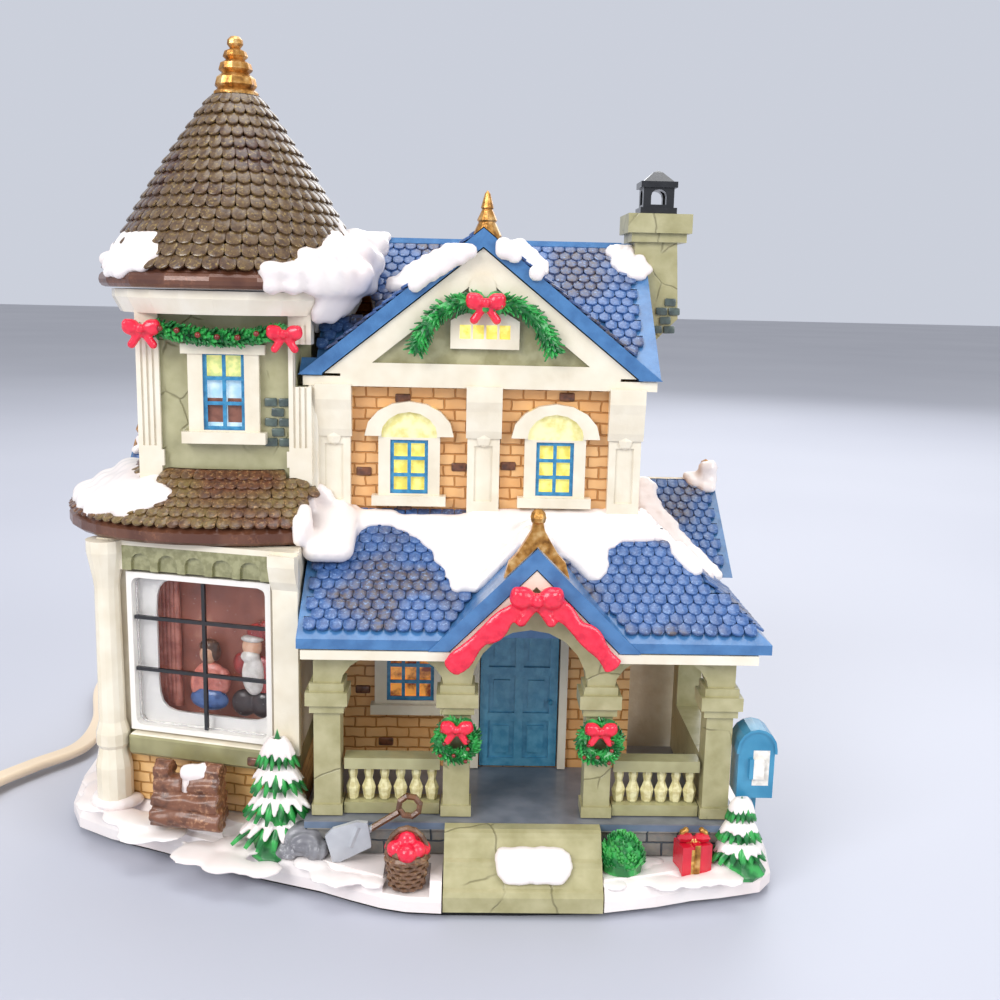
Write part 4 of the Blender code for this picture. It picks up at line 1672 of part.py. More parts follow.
def make_cord():
    coil = coil_points()
    start = Vector(coil[0])
    ahead = (start - Vector(coil[1])).normalized()
    end = Vector(coil[-1])
    beyond = (end - Vector(coil[-2])).normalized()
    tail = [end + beyond * TAIL_LENGTH * 0.5, end + beyond * TAIL_LENGTH,
            end + beyond * (TAIL_LENGTH + CORD_WIDTH)]
    for point, drop in zip(tail, (0.5, 1.0, 1.0)):
        point.z -= (end.z - PLUG_HEIGHT / 2 - CLEARANCE) * drop
    coil = [tuple(start + ahead * CORD_WIDTH)] + coil + [tuple(point) for point in tail]
    print(f"least gap of the coil to itself: {least_gap(coil_points()) * 1000:.2f} mm")
    keep("cord_coil", tube(coil, CORD_WIDTH / 2, 1), IVORY)

    join = start + ahead * (CORD_WIDTH + CLEARANCE)
    route = ROUTE + [tuple(join + ahead * 0.0100), tuple(join)]
    keep("cord_lead", tube(smooth_loop(route, 3, closed=False), CORD_WIDTH / 2, 2), IVORY)
    length = sum((Vector(b) - Vector(a)).length for a, b in zip(coil, coil[1:]))
    free = smooth_loop(route, 3, closed=False)
    lead = sum((Vector(b) - Vector(a)).length for a, b in zip(free, free[1:]))
    print(f"cord length: lead {lead:.3f} m, coil {length:.3f} m")

    # The plug follows the coil's upper end
    seat = tail[-1] + beyond * CLEARANCE
    across = beyond.cross(Vector((0, 0, 1))).normalized()
    plug_frame = Matrix((
        (*(across[i] for i in range(3)), 0), (*(beyond[i] for i in range(3)), 0), (0, 0, 1, 0), (0, 0,
                                                                                                 0, 1),
    )).transposed()
    plug_frame.translation = seat
    half = PLUG_WIDTH / 2
    body = rounded(block((-half, half), (0, PLUG_LENGTH), (-PLUG_HEIGHT / 2, PLUG_HEIGHT / 2)), 0.0028, 2)
    blades = [
        block((x - BLADE_THICKNESS / 2, x + BLADE_THICKNESS / 2), (PLUG_LENGTH - 0.002,
                                                                   PLUG_LENGTH + BLADE_LENGTH),
              (-BLADE_WIDTH / 2, BLADE_WIDTH / 2))
        for x in (-0.00635, 0.00635)
    ]
    keep("plug", moved(joined(body, *blades), plug_frame), IVORY)


SNOW_BED = make_slab()
make_plinth()
make_main_walls()
make_main_roof()
make_front_trim()
make_upper_windows()
make_porch_window()
make_door()
make_attic_window()
make_arcade()
make_rail("porch_rail_left", POST_LEFTS[0] + POST_WIDTH, POST_LEFTS[1])
make_rail("porch_rail_right", POST_LEFTS[2] + POST_WIDTH, POST_LEFTS[3])
make_porch_roof()
make_fascia()
make_porch_finial()
make_ribbon()
make_wreaths()
make_bay("right_bay", (MAIN_RIGHT + CLEARANCE, RIGHT_BAY_RIGHT), (MAIN_RIGHT + CLEARANCE, 0.0880),
         RIGHT_BAY_FRONT, RIGHT_BAY_BACK, RIGHT_BAY_RIDGE_Z, RIGHT_BAY_EAVE_Z)
make_bay("left_bay", (LEFT_BAY_LEFT, MAIN_LEFT - CLEARANCE), (MAIN_LEFT - CLEARANCE, -0.0885),
         LEFT_BAY_FRONT, LEFT_BAY_BACK, LEFT_BAY_RIDGE_Z, LEFT_BAY_EAVE_Z)
make_chimney()
make_lower_tower()
make_lower_columns()
make_picture_window()
make_skirt_roof()
make_upper_tower()
make_upper_columns()
make_cone_roof()
make_tower_garland()
make_gable_garland()
make_log_pile(SNOW_BED)
make_yard(SNOW_BED)
bpy.data.objects.remove(SNOW_BED)
make_lamp()
make_cord()
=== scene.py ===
import math
import random

import bmesh
import bpy
from mathutils import Matrix, Vector, noise
from mathutils.bvhtree import BVHTree


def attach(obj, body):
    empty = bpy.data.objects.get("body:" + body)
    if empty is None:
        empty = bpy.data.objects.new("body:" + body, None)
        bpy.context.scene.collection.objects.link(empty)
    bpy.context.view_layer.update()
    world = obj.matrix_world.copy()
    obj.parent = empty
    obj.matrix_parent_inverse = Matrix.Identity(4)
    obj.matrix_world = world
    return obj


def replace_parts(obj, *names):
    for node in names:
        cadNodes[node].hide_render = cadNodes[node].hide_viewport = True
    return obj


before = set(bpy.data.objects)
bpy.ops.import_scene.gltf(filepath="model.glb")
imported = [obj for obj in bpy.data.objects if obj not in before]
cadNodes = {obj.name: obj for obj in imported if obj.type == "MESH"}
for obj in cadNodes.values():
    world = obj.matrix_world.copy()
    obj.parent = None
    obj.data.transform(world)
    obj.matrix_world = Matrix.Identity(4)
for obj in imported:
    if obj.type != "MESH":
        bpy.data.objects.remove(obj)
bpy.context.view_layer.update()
mm = 0.001
up3 = Vector((0, 0, 1))


def fromHex(value):
    # sRGB hex to the linear numbers that shaders take
    parts = [int(value[i:i + 2], 16) / 255 for i in (1, 3, 5)]
    return tuple(c / 12.92 if c < 0.04045 else ((c + 0.055) / 1.055) ** 2.4 for c in parts) + (1.0,)


def addNode(tree, kind, settings=None, **sockets):
    # one node, its settings, then its sockets by name (an underscore stands for a space) or by number (n0, n1)
    node = tree.nodes.new("ShaderNode" + kind)
    for key, value in (settings or {}).items():
        setattr(node, key, value)
    for key, value in sockets.items():
        socket = node.inputs[int(key[1:]) if key[0] == "n" and key[1:].isdigit() else key.replace("_", " ")]
        if isinstance(value, bpy.types.NodeSocket):
            tree.links.new(value, socket)
        else:
            socket.default_value = fromHex(value) if isinstance(value, str) else value
    return node


def startMaterial(name):
    material = bpy.data.materials.new(name)
    material.use_nodes = True
    tree = material.node_tree
    return material, tree, addNode(tree, "TexCoord").outputs["Object"]


def painted(tree, colour, height, depth, strength, roughness, coat=0.35, metal=0.0):
    # colour and bump under a clear coat
    shader = tree.nodes["Principled BSDF"]
    tree.links.new(colour, shader.inputs["Base Color"])
    bump = addNode(tree, "Bump", Strength=strength, Distance=depth, Height=height)
    tree.links.new(bump.outputs["Normal"], shader.inputs["Normal"])
    for socket, value in (("Roughness", roughness), ("Coat Weight", coat), ("Coat Roughness", 0.12), ("IOR", 1.5),
                          ("Metallic", metal)):
        shader.inputs[socket].default_value = value
    return shader


def noiseAt(tree, place, size, detail=2.0, rough=0.5):
    # noise whose blotches are about this many metres across
    return addNode(tree, "TexNoise", Vector=place, Scale=1 / size, Detail=detail, Roughness=rough).outputs["Fac"]


def bentBy(tree, place, size, amounts, detail=2.0):
    # a place pushed about by noise, so that straight lines run unevenly
    wobble = addNode(tree, "TexNoise", Vector=place, Scale=1 / size, Detail=detail).outputs["Color"]
    return addNode(tree, "VectorMath", {"operation": "MULTIPLY_ADD"}, n0=wobble, n1=amounts, n2=place).outputs[0]


def ramp(tree, value, stops):
    # a colour ramp from (position, colour) pairs; a number stands for a grey
    node = addNode(tree, "ValToRGB", Fac=value)
    elements = node.color_ramp.elements
    while len(elements) < len(stops):
        elements.new(0.5)
    for element, (position, colour) in zip(elements, stops):
        element.position = position
        element.color = fromHex(colour) if isinstance(colour, str) else (colour, colour, colour, 1)
    return node.outputs["Color"]


def mixed(tree, factor, first, second, blend="MIX"):
    # colours may be hex, or the output of another node
    settings = {"data_type": "RGBA", "blend_type": blend}
    return addNode(tree, "Mix", settings, n0=factor, n6=first, n7=second).outputs[2]


def maths(tree, operation, first, second=0.0):
    return addNode(tree, "Math", {"operation": operation}, n0=first, n1=second).outputs[0]


def glazedPorcelain(name, light, shade, blotch=9 * mm, roughness=0.25):
    # cast porcelain under a clear glaze; the slip leaves a faint unevenness
    material, tree, place = startMaterial(name)
    wash = ramp(tree, noiseAt(tree, place, blotch, 3), [(0.35, light), (0.75, shade)])
    painted(tree, wash, noiseAt(tree, place, 1.4 * mm, 3), 0.12 * mm, 0.35, roughness)
    return material


def paintedStucco(name, light, shade, crack, cell=13 * mm):
    # sage underglaze stucco with a few long hairline cracks between cells of this size
    material, tree, place = startMaterial(name)
    bent = bentBy(tree, place, 6 * mm, (2.2 * mm,) * 3)
    cells = addNode(tree, "TexVoronoi", {"feature": "DISTANCE_TO_EDGE"}, Vector=bent, Scale=1 / cell)
    line = ramp(tree, cells.outputs["Distance"], [(0.004, 0.75), (0.022, 0.0)])
    where = ramp(tree, noiseAt(tree, place, 11 * mm, 1), [(0.5, 0.0), (0.58, 1.0)])
    cracks = maths(tree, "MULTIPLY", line, where)
    wash = ramp(tree, noiseAt(tree, place, 5 * mm, 3), [(0.3, light), (0.72, shade)])
    grain = maths(tree, "MULTIPLY", noiseAt(tree, place, 1.6 * mm, 3), 0.35)
    painted(tree, mixed(tree, cracks, wash, crack), maths(tree, "SUBTRACT", grain, cracks), 0.35 * mm, 0.7, 0.38, 0.15)
    return material


def wallCoordinates(tree, place):
    # runs bricks along whichever wall a point is on: X on front and back, Y on the sides
    normal = addNode(tree, "TexCoord").outputs["Normal"]
    facing = addNode(tree, "SeparateXYZ", Vector=normal).outputs
    where = addNode(tree, "SeparateXYZ", Vector=place).outputs
    side = maths(tree, "GREATER_THAN", maths(tree, "ABSOLUTE", facing[0]), 0.7)
    along = addNode(tree, "Mix", {"data_type": "FLOAT"}, n0=side, n2=where[0], n3=where[1]).outputs[0]
    return addNode(tree, "CombineXYZ", X=along, Y=where[2], Z=0.0).outputs[0]


def paintedBrick(name, tones, joint, odd, brick=(5.7 * mm, 2.85 * mm), jointWidth=0.3 * mm, oddFrom=0.95, plain=()):
    # pressed brickwork with soft corners, some bricks picked out in another tone
    material, tree, place = startMaterial(name)
    bent = bentBy(tree, wallCoordinates(tree, place), 3.2 * mm, (0.9 * mm, 0.7 * mm, 0), 1.0)
    bricks = addNode(tree, "TexBrick", {"offset": 0.5, "squash": 1.0}, Vector=bent, Color1=(0, 0, 0, 1),
                     Color2=(1, 1, 1, 1), Mortar=(0.5, 0.5, 0.5, 1), Scale=1.0, Mortar_Size=jointWidth,
                     Mortar_Smooth=0.6, Bias=0.0, Brick_Width=brick[0], Row_Height=brick[1])
    each = addNode(tree, "SeparateColor", Color=bricks.outputs["Color"]).outputs[0]
    tone = ramp(tree, each, [(0.0, tones[0]), (0.55, tones[1]), (oddFrom - 0.02, tones[0]), (oddFrom, odd)])
    worn = mixed(tree, maths(tree, "MULTIPLY", noiseAt(tree, place, 2.5 * mm, 3), 0.35), tone, "#F7D9A8")
    colour = mixed(tree, bricks.outputs["Fac"], worn, joint)
    lump = maths(tree, "MULTIPLY", noiseAt(tree, place, 1.5 * mm, 2), 0.3)
    height = maths(tree, "SUBTRACT", lump, bricks.outputs["Fac"])
    high = addNode(tree, "SeparateXYZ", Vector=place).outputs[2]
    for low, top, bandTones in plain:  # bands of height left smooth and painted in two tones of their own
        band = maths(tree, "MULTIPLY", maths(tree, "GREATER_THAN", high, low), maths(tree, "LESS_THAN", high, top))
        tone = ramp(tree, noiseAt(tree, place, 6 * mm, 2), list(zip((0.35, 0.65), bandTones)))
        colour = mixed(tree, band, colour, tone)
        height = maths(tree, "MULTIPLY", height, maths(tree, "SUBTRACT", 1.0, band))
    painted(tree, colour, height, 0.45 * mm, 0.8, 0.36, 0.2)
    return material


def dryBrushed(name, base, mid, highlight, sheen=0.35, metal=0.0, blotch=7 * mm):
    # one dark coat, a lighter one over it, then highlights brushed on nearly dry
    material, tree, place = startMaterial(name)
    coat = ramp(tree, noiseAt(tree, place, blotch, 2), [(0.38, base), (0.55, mid)])
    streak = ramp(tree, noiseAt(tree, place, 1.1 * mm, 3, 0.7), [(0.52, 0.0), (0.68, 1.0)])
    high = maths(tree, "MULTIPLY", streak, ramp(tree, noiseAt(tree, place, 14 * mm, 1), [(0.42, 0.0), (0.6, 0.85)]))
    painted(tree, mixed(tree, high, coat, highlight), noiseAt(tree, place, 0.9 * mm, 3), 0.15 * mm, 0.5, sheen, 0.25,
            metal)
    return material


def goldPaint(name):
    # bronze powder paint, brown and pale gold in small random patches
    material, tree, place = startMaterial(name)
    tone = ramp(tree, noiseAt(tree, place, 2.2 * mm, 4), [(0.3, "#7A5024"), (0.5, "#C08A45"), (0.7, "#E8C080")])
    painted(tree, tone, noiseAt(tree, place, 0.8 * mm, 3), 0.2 * mm, 0.5, 0.34, 0.0, 0.75)
    return material


def glossPaint(name, light, dark, roughness=0.3, blotch=2.5 * mm, grain=0.2 * mm):
    # gloss enamel brushed on, its tone a little uneven in small random patches
    material, tree, place = startMaterial(name)
    tone = ramp(tree, noiseAt(tree, place, blotch, 3), [(0.35, dark), (0.62, light)])
    painted(tree, tone, noiseAt(tree, place, 1.0 * mm, 2), grain, 0.5, roughness, 0.4)
    return material


def pineNeedles(name, light, dark, spacing=0.55 * mm):
    # pressed needle marks, drawn half a millimetre apart so that they show
    material, tree, place = startMaterial(name)
    bent = bentBy(tree, place, 2.5 * mm, (2.5 * mm,) * 3)
    strands = addNode(tree, "TexWave", {"bands_direction": "DIAGONAL"}, Vector=bent, Scale=1 / (spacing * 20),
                      Distortion=3.0, Detail=2.0).outputs["Fac"]
    painted(tree, ramp(tree, strands, [(0.2, dark), (0.8, light)]), strands, 0.3 * mm, 0.7, 0.35, 0.3)
    return material


def plainPlastic(name, colour, roughness=0.4):
    # moulded plastic with a fine even grain
    material, tree, place = startMaterial(name)
    shift = ramp(tree, noiseAt(tree, place, 20 * mm, 2), [(0.2, 0.96), (0.8, 1.0)])
    painted(tree, mixed(tree, 1.0, colour, shift, "MULTIPLY"), noiseAt(tree, place, 0.6 * mm, 2), 0.05 * mm, 0.3,
            roughness, 0.0)
    return material


def brushedMetal(name, colour, roughness):
    # drawn sheet metal, its fine lines along the rolling direction
    material, tree, place = startMaterial(name)
    stretched = addNode(tree, "Mapping", Vector=place, Scale=(1.0, 0.06, 1.0)).outputs[0]
    lines = noiseAt(tree, stretched, 0.35 * mm, 3)
    tone = mixed(tree, 1.0, colour, ramp(tree, lines, [(0.3, 0.85), (0.7, 1.0)]), "MULTIPLY")
    painted(tree, tone, lines, 0.04 * mm, 0.4, roughness, 0.0, 1.0)
    return material


def clearSheet(name, tint, roughness=0.03, dust=0.0):
    # clear moulded sheet: light passes straight through, with a few dust specks
    material, tree, place = startMaterial(name)
    shader = tree.nodes["Principled BSDF"]
    shader.inputs["Base Color"].default_value = fromHex(tint)
    shader.inputs["Transmission Weight"].default_value = 1.0
    shader.inputs["IOR"].default_value = 1.2
    specks = ramp(tree, addNode(tree, "TexVoronoi", Vector=place, Scale=1 / (1.6 * mm)).outputs["Distance"],
                  [(0.03, dust + roughness), (0.07, roughness)])
    tree.links.new(addNode(tree, "SeparateColor", Color=specks).outputs[0], shader.inputs["Roughness"])
    return material


def roofTilePaint(name, base, light, wash, washFrom, highlight):
    # glazed scales: blue or bronze, brown worked over them in large patches, and a lighter dry coat in fine specks
    material, tree, place = startMaterial(name)
    patch = noiseAt(tree, place, 17 * mm, 1)
    fine = noiseAt(tree, place, 1.3 * mm, 3, 0.65)
    coat = ramp(tree, fine, [(0.38, base), (0.66, light)])
    where = ramp(tree, patch, [(washFrom, 0.0), (washFrom + 0.12, 0.85)])
    streak = maths(tree, "MULTIPLY", where, ramp(tree, fine, [(0.36, 0.25), (0.6, 1.0)]))
    high = ramp(tree, noiseAt(tree, place, 0.8 * mm, 2, 0.7), [(0.56, 0.0), (0.7, 0.8)])
    colour = mixed(tree, high, mixed(tree, streak, coat, wash), highlight)
    painted(tree, colour, noiseAt(tree, place, 0.7 * mm, 2), 0.12 * mm, 0.5, 0.3, 0.3)
    return material


creamTones = ("#F1E9D6", "#E4D9C2")
finishes = {
    "cream": glazedPorcelain("cream glazed porcelain", "#F1EADA", "#E6DBC4"),
    "snow": glazedPorcelain("snow white glaze", "#F6F0EE", "#F0E2DF", 16 * mm, 0.3),
    "brick": paintedBrick("orange painted brick", ("#F0B878", "#E5A460"), "#C0803F", "#E0A060"),
    "towerBrick": paintedBrick("tower brick", ("#F0BE78", "#E5AC62"), "#C08844", "#E0A860",
                               plain=((31.2 * mm, 200 * mm, creamTones),
                                      (25.6 * mm, 31.2 * mm, ("#9D986E", "#86815A")))),
    "slate": paintedBrick("slate stones", ("#5F6F7C", "#4F5E6B"), "#38434D", "#6E7C86", (7.5 * mm, 4.2 * mm),
                          plain=((15.6 * mm, 17.2 * mm, ("#6C7D94", "#5B6B80")),
                                 (17.2 * mm, 100 * mm, ("#80838C", "#6C7079")))),
    "sage": paintedStucco("sage stucco", "#B5B18C", "#A09C76", "#78734F"),
    "rail": paintedStucco("khaki stone", "#B8B28A", "#9D976C", "#7A7450"),
    "blueEdge": glossPaint("blue roof paint", "#4A7DB2", "#3A6A9E", 0.3, 4 * mm),
    "roofTiles": roofTilePaint("glazed blue scales", "#31538A", "#4A6EA6", "#57432C", 0.5, "#7C9AC6"),
    "bronzeTiles": roofTilePaint("glazed bronze scales", "#3B251D", "#5A3C2E", "#6A5434", 0.3, "#A38A50"),
    "copperTiles": roofTilePaint("glazed copper scales", "#4A2C20", "#74492F", "#7A6A3C", 0.52, "#B08A5E"),
    "copperRim": dryBrushed("copper roof rim", "#5A3424", "#6B4330", "#8A5A40", 0.33, 0.15),
    "gold": goldPaint("gold paint"),
    "door": glossPaint("blue door paint", "#5FA9CC", "#4190B8", 0.3),
    "red": glossPaint("red bow enamel", "#FF2A48", "#E0143A", 0.27, 1.8 * mm, 0.3 * mm),
    "berry": glossPaint("berry enamel", "#8E2A22", "#6E1C18", 0.25),
    "fir": pineNeedles("fir green", "#35A84E", "#177033"),
    "boxwood": pineNeedles("boxwood green", "#4DB45A", "#1F7A38", 0.8 * mm),
    "bark": dryBrushed("log bark", "#5A3625", "#7A4C34", "#B98A68", 0.4, 0.0, 3 * mm),
    "weave": dryBrushed("basket weave", "#5B3F2C", "#7A5840", "#A98762", 0.4, 0.0, 2 * mm),
    "stone": dryBrushed("grey field stone", "#77777D", "#929297", "#D6D6DA", 0.35),
    "slateBrick": glossPaint("dark slate brick", "#56655F", "#3E4A48", 0.3, 2 * mm),
    "brownBrick": glossPaint("dark brown brick", "#7A4A30", "#50301F", 0.3, 1.5 * mm),
    "curtain": glossPaint("salmon curtain paint", "#D98C78", "#B0604E", 0.4, 3 * mm),
    "black": glossPaint("black gloss", "#1B1C20", "#111216", 0.3),
    "felt": glossPaint("black felt", "#0C0C0D", "#060607", 0.9, 1 * mm),
    "clear": clearSheet("clear window sheet", "#FFFFFF", 0.03, 0.4),
    "wire": glossPaint("black bars", "#16161A", "#0C0C0F", 0.35),
    "liner": plainPlastic("white moulded liner", "#F2EEE8", 0.35),
    "ivory": plainPlastic("ivory vinyl", "#EADFC8", 0.45),
    "cordVinyl": plainPlastic("ivory cord vinyl", "#E9D6BD", 0.4),
    "steel": brushedMetal("spring steel", "#C9CBCF", 0.3),
    "brass": brushedMetal("thin brass", "#D8B468", 0.25),
    "warmGlass": clearSheet("warm bulb glass", "#FFF2CC", 0.02),
}
print("finishes made:", len(finishes))


def dress(finish, *names):
    for name in names:
        mesh = cadNodes[name].data
        mesh.materials.clear()
        mesh.materials.append(finishes[finish] if isinstance(finish, str) else finish)


def smoothed(piece, degrees=40):
    piece.data.shade_smooth()
    piece.data.set_sharp_from_angle(angle=math.radians(degrees))
    return piece


def meshFrom(name, bm):
    mesh = bpy.data.meshes.new(name)
    bm.to_mesh(mesh)
    bm.free()
    return mesh


def placed(name, data):
    holder = bpy.data.objects.new(name, data)
    bpy.context.scene.collection.objects.link(holder)
    return holder


def newPiece(name, bm, finish, body="house", degrees=40):
    mesh = meshFrom(name, bm)
    mesh.materials.append(finishes[finish] if isinstance(finish, str) else finish)
    piece = smoothed(placed(name, mesh), degrees)
    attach(piece, body)
    return piece


def fused(name, bm, finish, voxel, rounds=3):
    # lumps fused into one casting and softened, as one plain mesh
    piece = newPiece(name, bm, finish, "house", 180)
    piece.modifiers.new("fuse", "REMESH").voxel_size = voxel
    soft = piece.modifiers.new("soften", "SMOOTH")
    soft.factor = 0.5
    soft.iterations = rounds
    bpy.context.view_layer.update()
    graph = bpy.context.evaluated_depsgraph_get()
    mesh = bpy.data.meshes.new_from_object(piece.evaluated_get(graph))
    piece.modifiers.clear()
    old = piece.data
    piece.data = mesh
    bpy.data.meshes.remove(old)
    return smoothed(piece, 180)


def stamped(bm, template, matrix):
    # one more copy of a small template mesh
    before = len(bm.verts)
    bm.from_mesh(template)
    bm.verts.ensure_lookup_table()
    bmesh.ops.transform(bm, matrix=matrix, verts=bm.verts[before:])


def basis(x, y, z, position):
    return Matrix(((x[0], y[0], z[0], position[0]), (x[1], y[1], z[1], position[1]),
                   (x[2], y[2], z[2], position[2]), (0, 0, 0, 1)))


def placeMatrix(position, across, out):
    # X along across, Z along out, at a position
    z = Vector(out).normalized()
    x = (Vector(across) - z * Vector(across).dot(z)).normalized()
    return basis(x, z.cross(x), z, position)


def scaled(*size):
    return Matrix.Diagonal((*size, 1))


def addForm(bm, make, matrix, **settings):
    # a basic form from one of the create operators, put in place
    bmesh.ops.transform(bm, matrix=matrix, verts=make(bm, **settings)["verts"])


def addBall(bm, place, size, level=3):
    addForm(bm, bmesh.ops.create_icosphere, Matrix.Translation(place) @ scaled(*size), subdivisions=level, radius=1.0)


def addBox(bm, matrix, *size):
    addForm(bm, bmesh.ops.create_cube, matrix @ scaled(*size), size=1.0)


def softEdges(bm, offset, segments=2):
    bmesh.ops.bevel(bm, geom=bm.edges[:], offset=offset, segments=segments, profile=0.5, affect="EDGES", material=-1)


def treeOf(*names):
    # something to drop points onto: the CAD nodes' own triangles
    verts, faces = [], []
    for name in names:
        mesh = cadNodes[name].data
        base = len(verts)
        verts += [v.co.copy() for v in mesh.vertices]
        faces += [[base + i for i in p.vertices] for p in mesh.polygons]
    return BVHTree.FromPolygons(verts, faces)


cameraSet = {
    "place": (15.28 * mm, -309.6 * mm, 144.2 * mm), "lens": 40.68, "sensor": 36,
    "pitch": 10.6, "yaw": 1.5, "roll": 1.3, "picture": 1000,
}


def makeCamera():
    pitch, yaw, roll = (math.radians(cameraSet[k]) for k in ("pitch", "yaw", "roll"))
    ahead = Vector((math.sin(yaw) * math.cos(pitch), math.cos(yaw) * math.cos(pitch), -math.sin(pitch)))
    right = Vector((math.cos(yaw), -math.sin(yaw), 0))
    up = right.cross(ahead)
    right, up = right * math.cos(roll) + up * math.sin(roll), up * math.cos(roll) - right * math.sin(roll)
    camera = bpy.data.cameras.new("camera")
    camera.lens = cameraSet["lens"]
    camera.sensor_width = cameraSet["sensor"]
    camera.clip_start = 0.01
    camera.clip_end = 20
    holder = placed("camera", camera)
    holder.matrix_world = basis(right, up, -ahead, cameraSet["place"])
    bpy.context.scene.camera = holder


def cameraRay(x, y):
    # from the eye through a point of the picture
    view = bpy.context.scene.camera.matrix_world
    half = cameraSet["picture"] / 2
    scale = cameraSet["lens"] / cameraSet["sensor"] * cameraSet["picture"]
    return view.translation, (view.to_3x3() @ Vector((x - half, half - y, -scale))).normalized()


studioSet = {
    "floor": ("#BFC2CE", "#B7BAC7"), "floorHalf": 6, "sky": (0.60, 0.63, 0.71), "skyLight": 0.55,
    "lamps": [  # name, place, aimed at, size, watts
        ("frontLeft", (-0.75, -0.95, 0.85), (0, 0, 0.08), 0.7, 12.5),
        ("frontRight", (0.85, -0.70, 0.60), (0, 0, 0.08), 0.6, 6.0),
        ("above", (0.0, 0.1, 1.3), (0, 0, 0.08), 0.9, 7.0),
        ("behind", (0.3, 1.0, 0.7), (0, 0, 0.1), 0.8, 5.0),
    ],
}


def makeStudio():
    bm = bmesh.new()
    bmesh.ops.create_grid(bm, x_segments=1, y_segments=1, size=studioSet["floorHalf"])
    floor = placed("floor", meshFrom("floor", bm))
    paper, tree, place = startMaterial("pale floor paper")
    tone = ramp(tree, noiseAt(tree, place, 0.4, 2), list(zip((0.3, 0.7), studioSet["floor"])))
    tree.links.new(tone, tree.nodes["Principled BSDF"].inputs["Base Color"])
    tree.nodes["Principled BSDF"].inputs["Roughness"].default_value = 0.55
    floor.data.materials.append(paper)
    world = bpy.data.worlds.new("studio")
    world.use_nodes = True
    tree = world.node_tree
    seen = addNode(tree, "LightPath").outputs
    direct = maths(tree, "MAXIMUM", seen["Is Camera Ray"],
                   maths(tree, "MAXIMUM", seen["Is Glossy Ray"], seen["Is Transmission Ray"]))
    background = tree.nodes["Background"]
    strength = addNode(tree, "Mix", {"data_type": "FLOAT"}, n0=direct, n2=studioSet["skyLight"], n3=1.0).outputs[0]
    tint = mixed(tree, direct, (1.0, 1.0, 1.0, 1.0), (*studioSet["sky"], 1.0))
    tree.links.new(tint, background.inputs["Color"])
    tree.links.new(strength, background.inputs["Strength"])
    bpy.context.scene.world = world
    for name, place, target, size, watts in studioSet["lamps"]:
        light = bpy.data.lights.new(name, "AREA")
        light.energy = watts
        light.size = size
        holder = placed(name, light)
        holder.location = place
        holder.rotation_euler = (Vector(target) - Vector(place)).to_track_quat("-Z", "Y").to_euler()
    bpy.context.scene.view_settings.view_transform = "Standard"


makeCamera()
makeStudio()
print("camera and studio ready")

cordSet = {
    "width": 5.6 * mm, "thickness": 2.8 * mm, "groove": 0.35 * mm, "clearance": 0.3 * mm,
    "coilCentre": (-168.0 * mm, -22.0 * mm), "coilOuter": 40.0 * mm, "turnsPerLayer": 4, "layers": 2, "turns": 7.5,
    "coilStart": -25.0, "gap": 0.9 * mm, "pointsPerTurn": 24, "tail": 26.0 * mm, "plugHeight": 12.0 * mm,
}
# the lead from the grip to the coil, in millimetres
cordRoute = [
    (3.5, 62.6, 42.0), (3.5, 72.3, 41.8), (-6.0, 88.0, 40.5), (-30.0, 106.0, 35.0), (-62.0, 116.0, 24.0),
    (-95.0, 114.0, 11.0), (-112.0, 96.0, 4.2), (-112.8, 72.0, 3.1), (-104.0, 42.0, 3.1), (-103.0, 20.0, 3.1),
    (-112.0, 6.0, 3.1), (-120.0, -8.0, 3.1),
]


def curveThrough(points, steps):
    # Catmull-Rom curve, open
    points = [Vector(p) for p in points]
    out = []
    for i in range(len(points) - 1):
        a = points[i - 1] if i else points[0] * 2 - points[1]
        b, c = points[i], points[i + 1]
        d = points[i + 2] if i + 2 < len(points) else points[-1] * 2 - points[-2]
        for step in range(steps):
            t = step / steps
            out.append((b * 2 + (c - a) * t + (a * 2 - b * 5 + c * 4 - d) * t ** 2
                        + (b * 3 - a - c * 3 + d) * t ** 3) / 2)
    out.append(points[-1])
    return out


def wayAt(path, i):
    # the direction in which a path runs at one of its points
    return (path[min(i + 1, len(path) - 1)] - path[max(i - 1, 0)]).normalized()


def coilRoute():
    # two flat layers, wound inward below and outward above, with a short climb from one to the next
    s = cordSet
    pitch = s["width"] + s["gap"]
    points = []
    for i in range(round(s["turns"] * s["pointsPerTurn"]) + 1):
        turns = i / s["pointsPerTurn"]
        layer = min(int(turns / s["turnsPerLayer"]), s["layers"] - 1)
        within = turns - layer * s["turnsPerLayer"]
        inward = within if layer % 2 == 0 else s["turnsPerLayer"] - within
        climb = layer
        if layer < s["layers"] - 1 and s["turnsPerLayer"] - within < 0.25:
            climb += 0.5 - 2 * (s["turnsPerLayer"] - within)
        if layer > 0 and within < 0.25:
            climb += 2 * within - 0.5
        spiral = s["coilOuter"] - pitch * inward
        angle = math.radians(s["coilStart"]) - 2 * math.pi * turns
        points.append(Vector((s["coilCentre"][0] + spiral * math.cos(angle),
                              s["coilCentre"][1] + spiral * math.sin(angle),
                              s["width"] / 2 + s["clearance"] + pitch * climb)))
    return points


def cordPath():
    s = cordSet
    coil = coilRoute()
    ahead = (coil[0] - coil[1]).normalized()
    beyond = (coil[-1] - coil[-2]).normalized()
    tail = [coil[-1] + beyond * s["tail"] * 0.5, coil[-1] + beyond * s["tail"],
            coil[-1] + beyond * (s["tail"] + s["width"])]
    for point, drop in zip(tail, (0.5, 1.0, 1.0)):
        point.z -= (coil[-1].z - s["plugHeight"] / 2 - s["clearance"]) * drop
    join = coil[0] + ahead * (s["width"] + s["clearance"])
    lead = [Vector(p) * mm for p in cordRoute] + [join + ahead * 0.010, join]
    return curveThrough(lead, 8) + curveThrough([coil[0] + ahead * s["width"]] + coil + tail, 2)


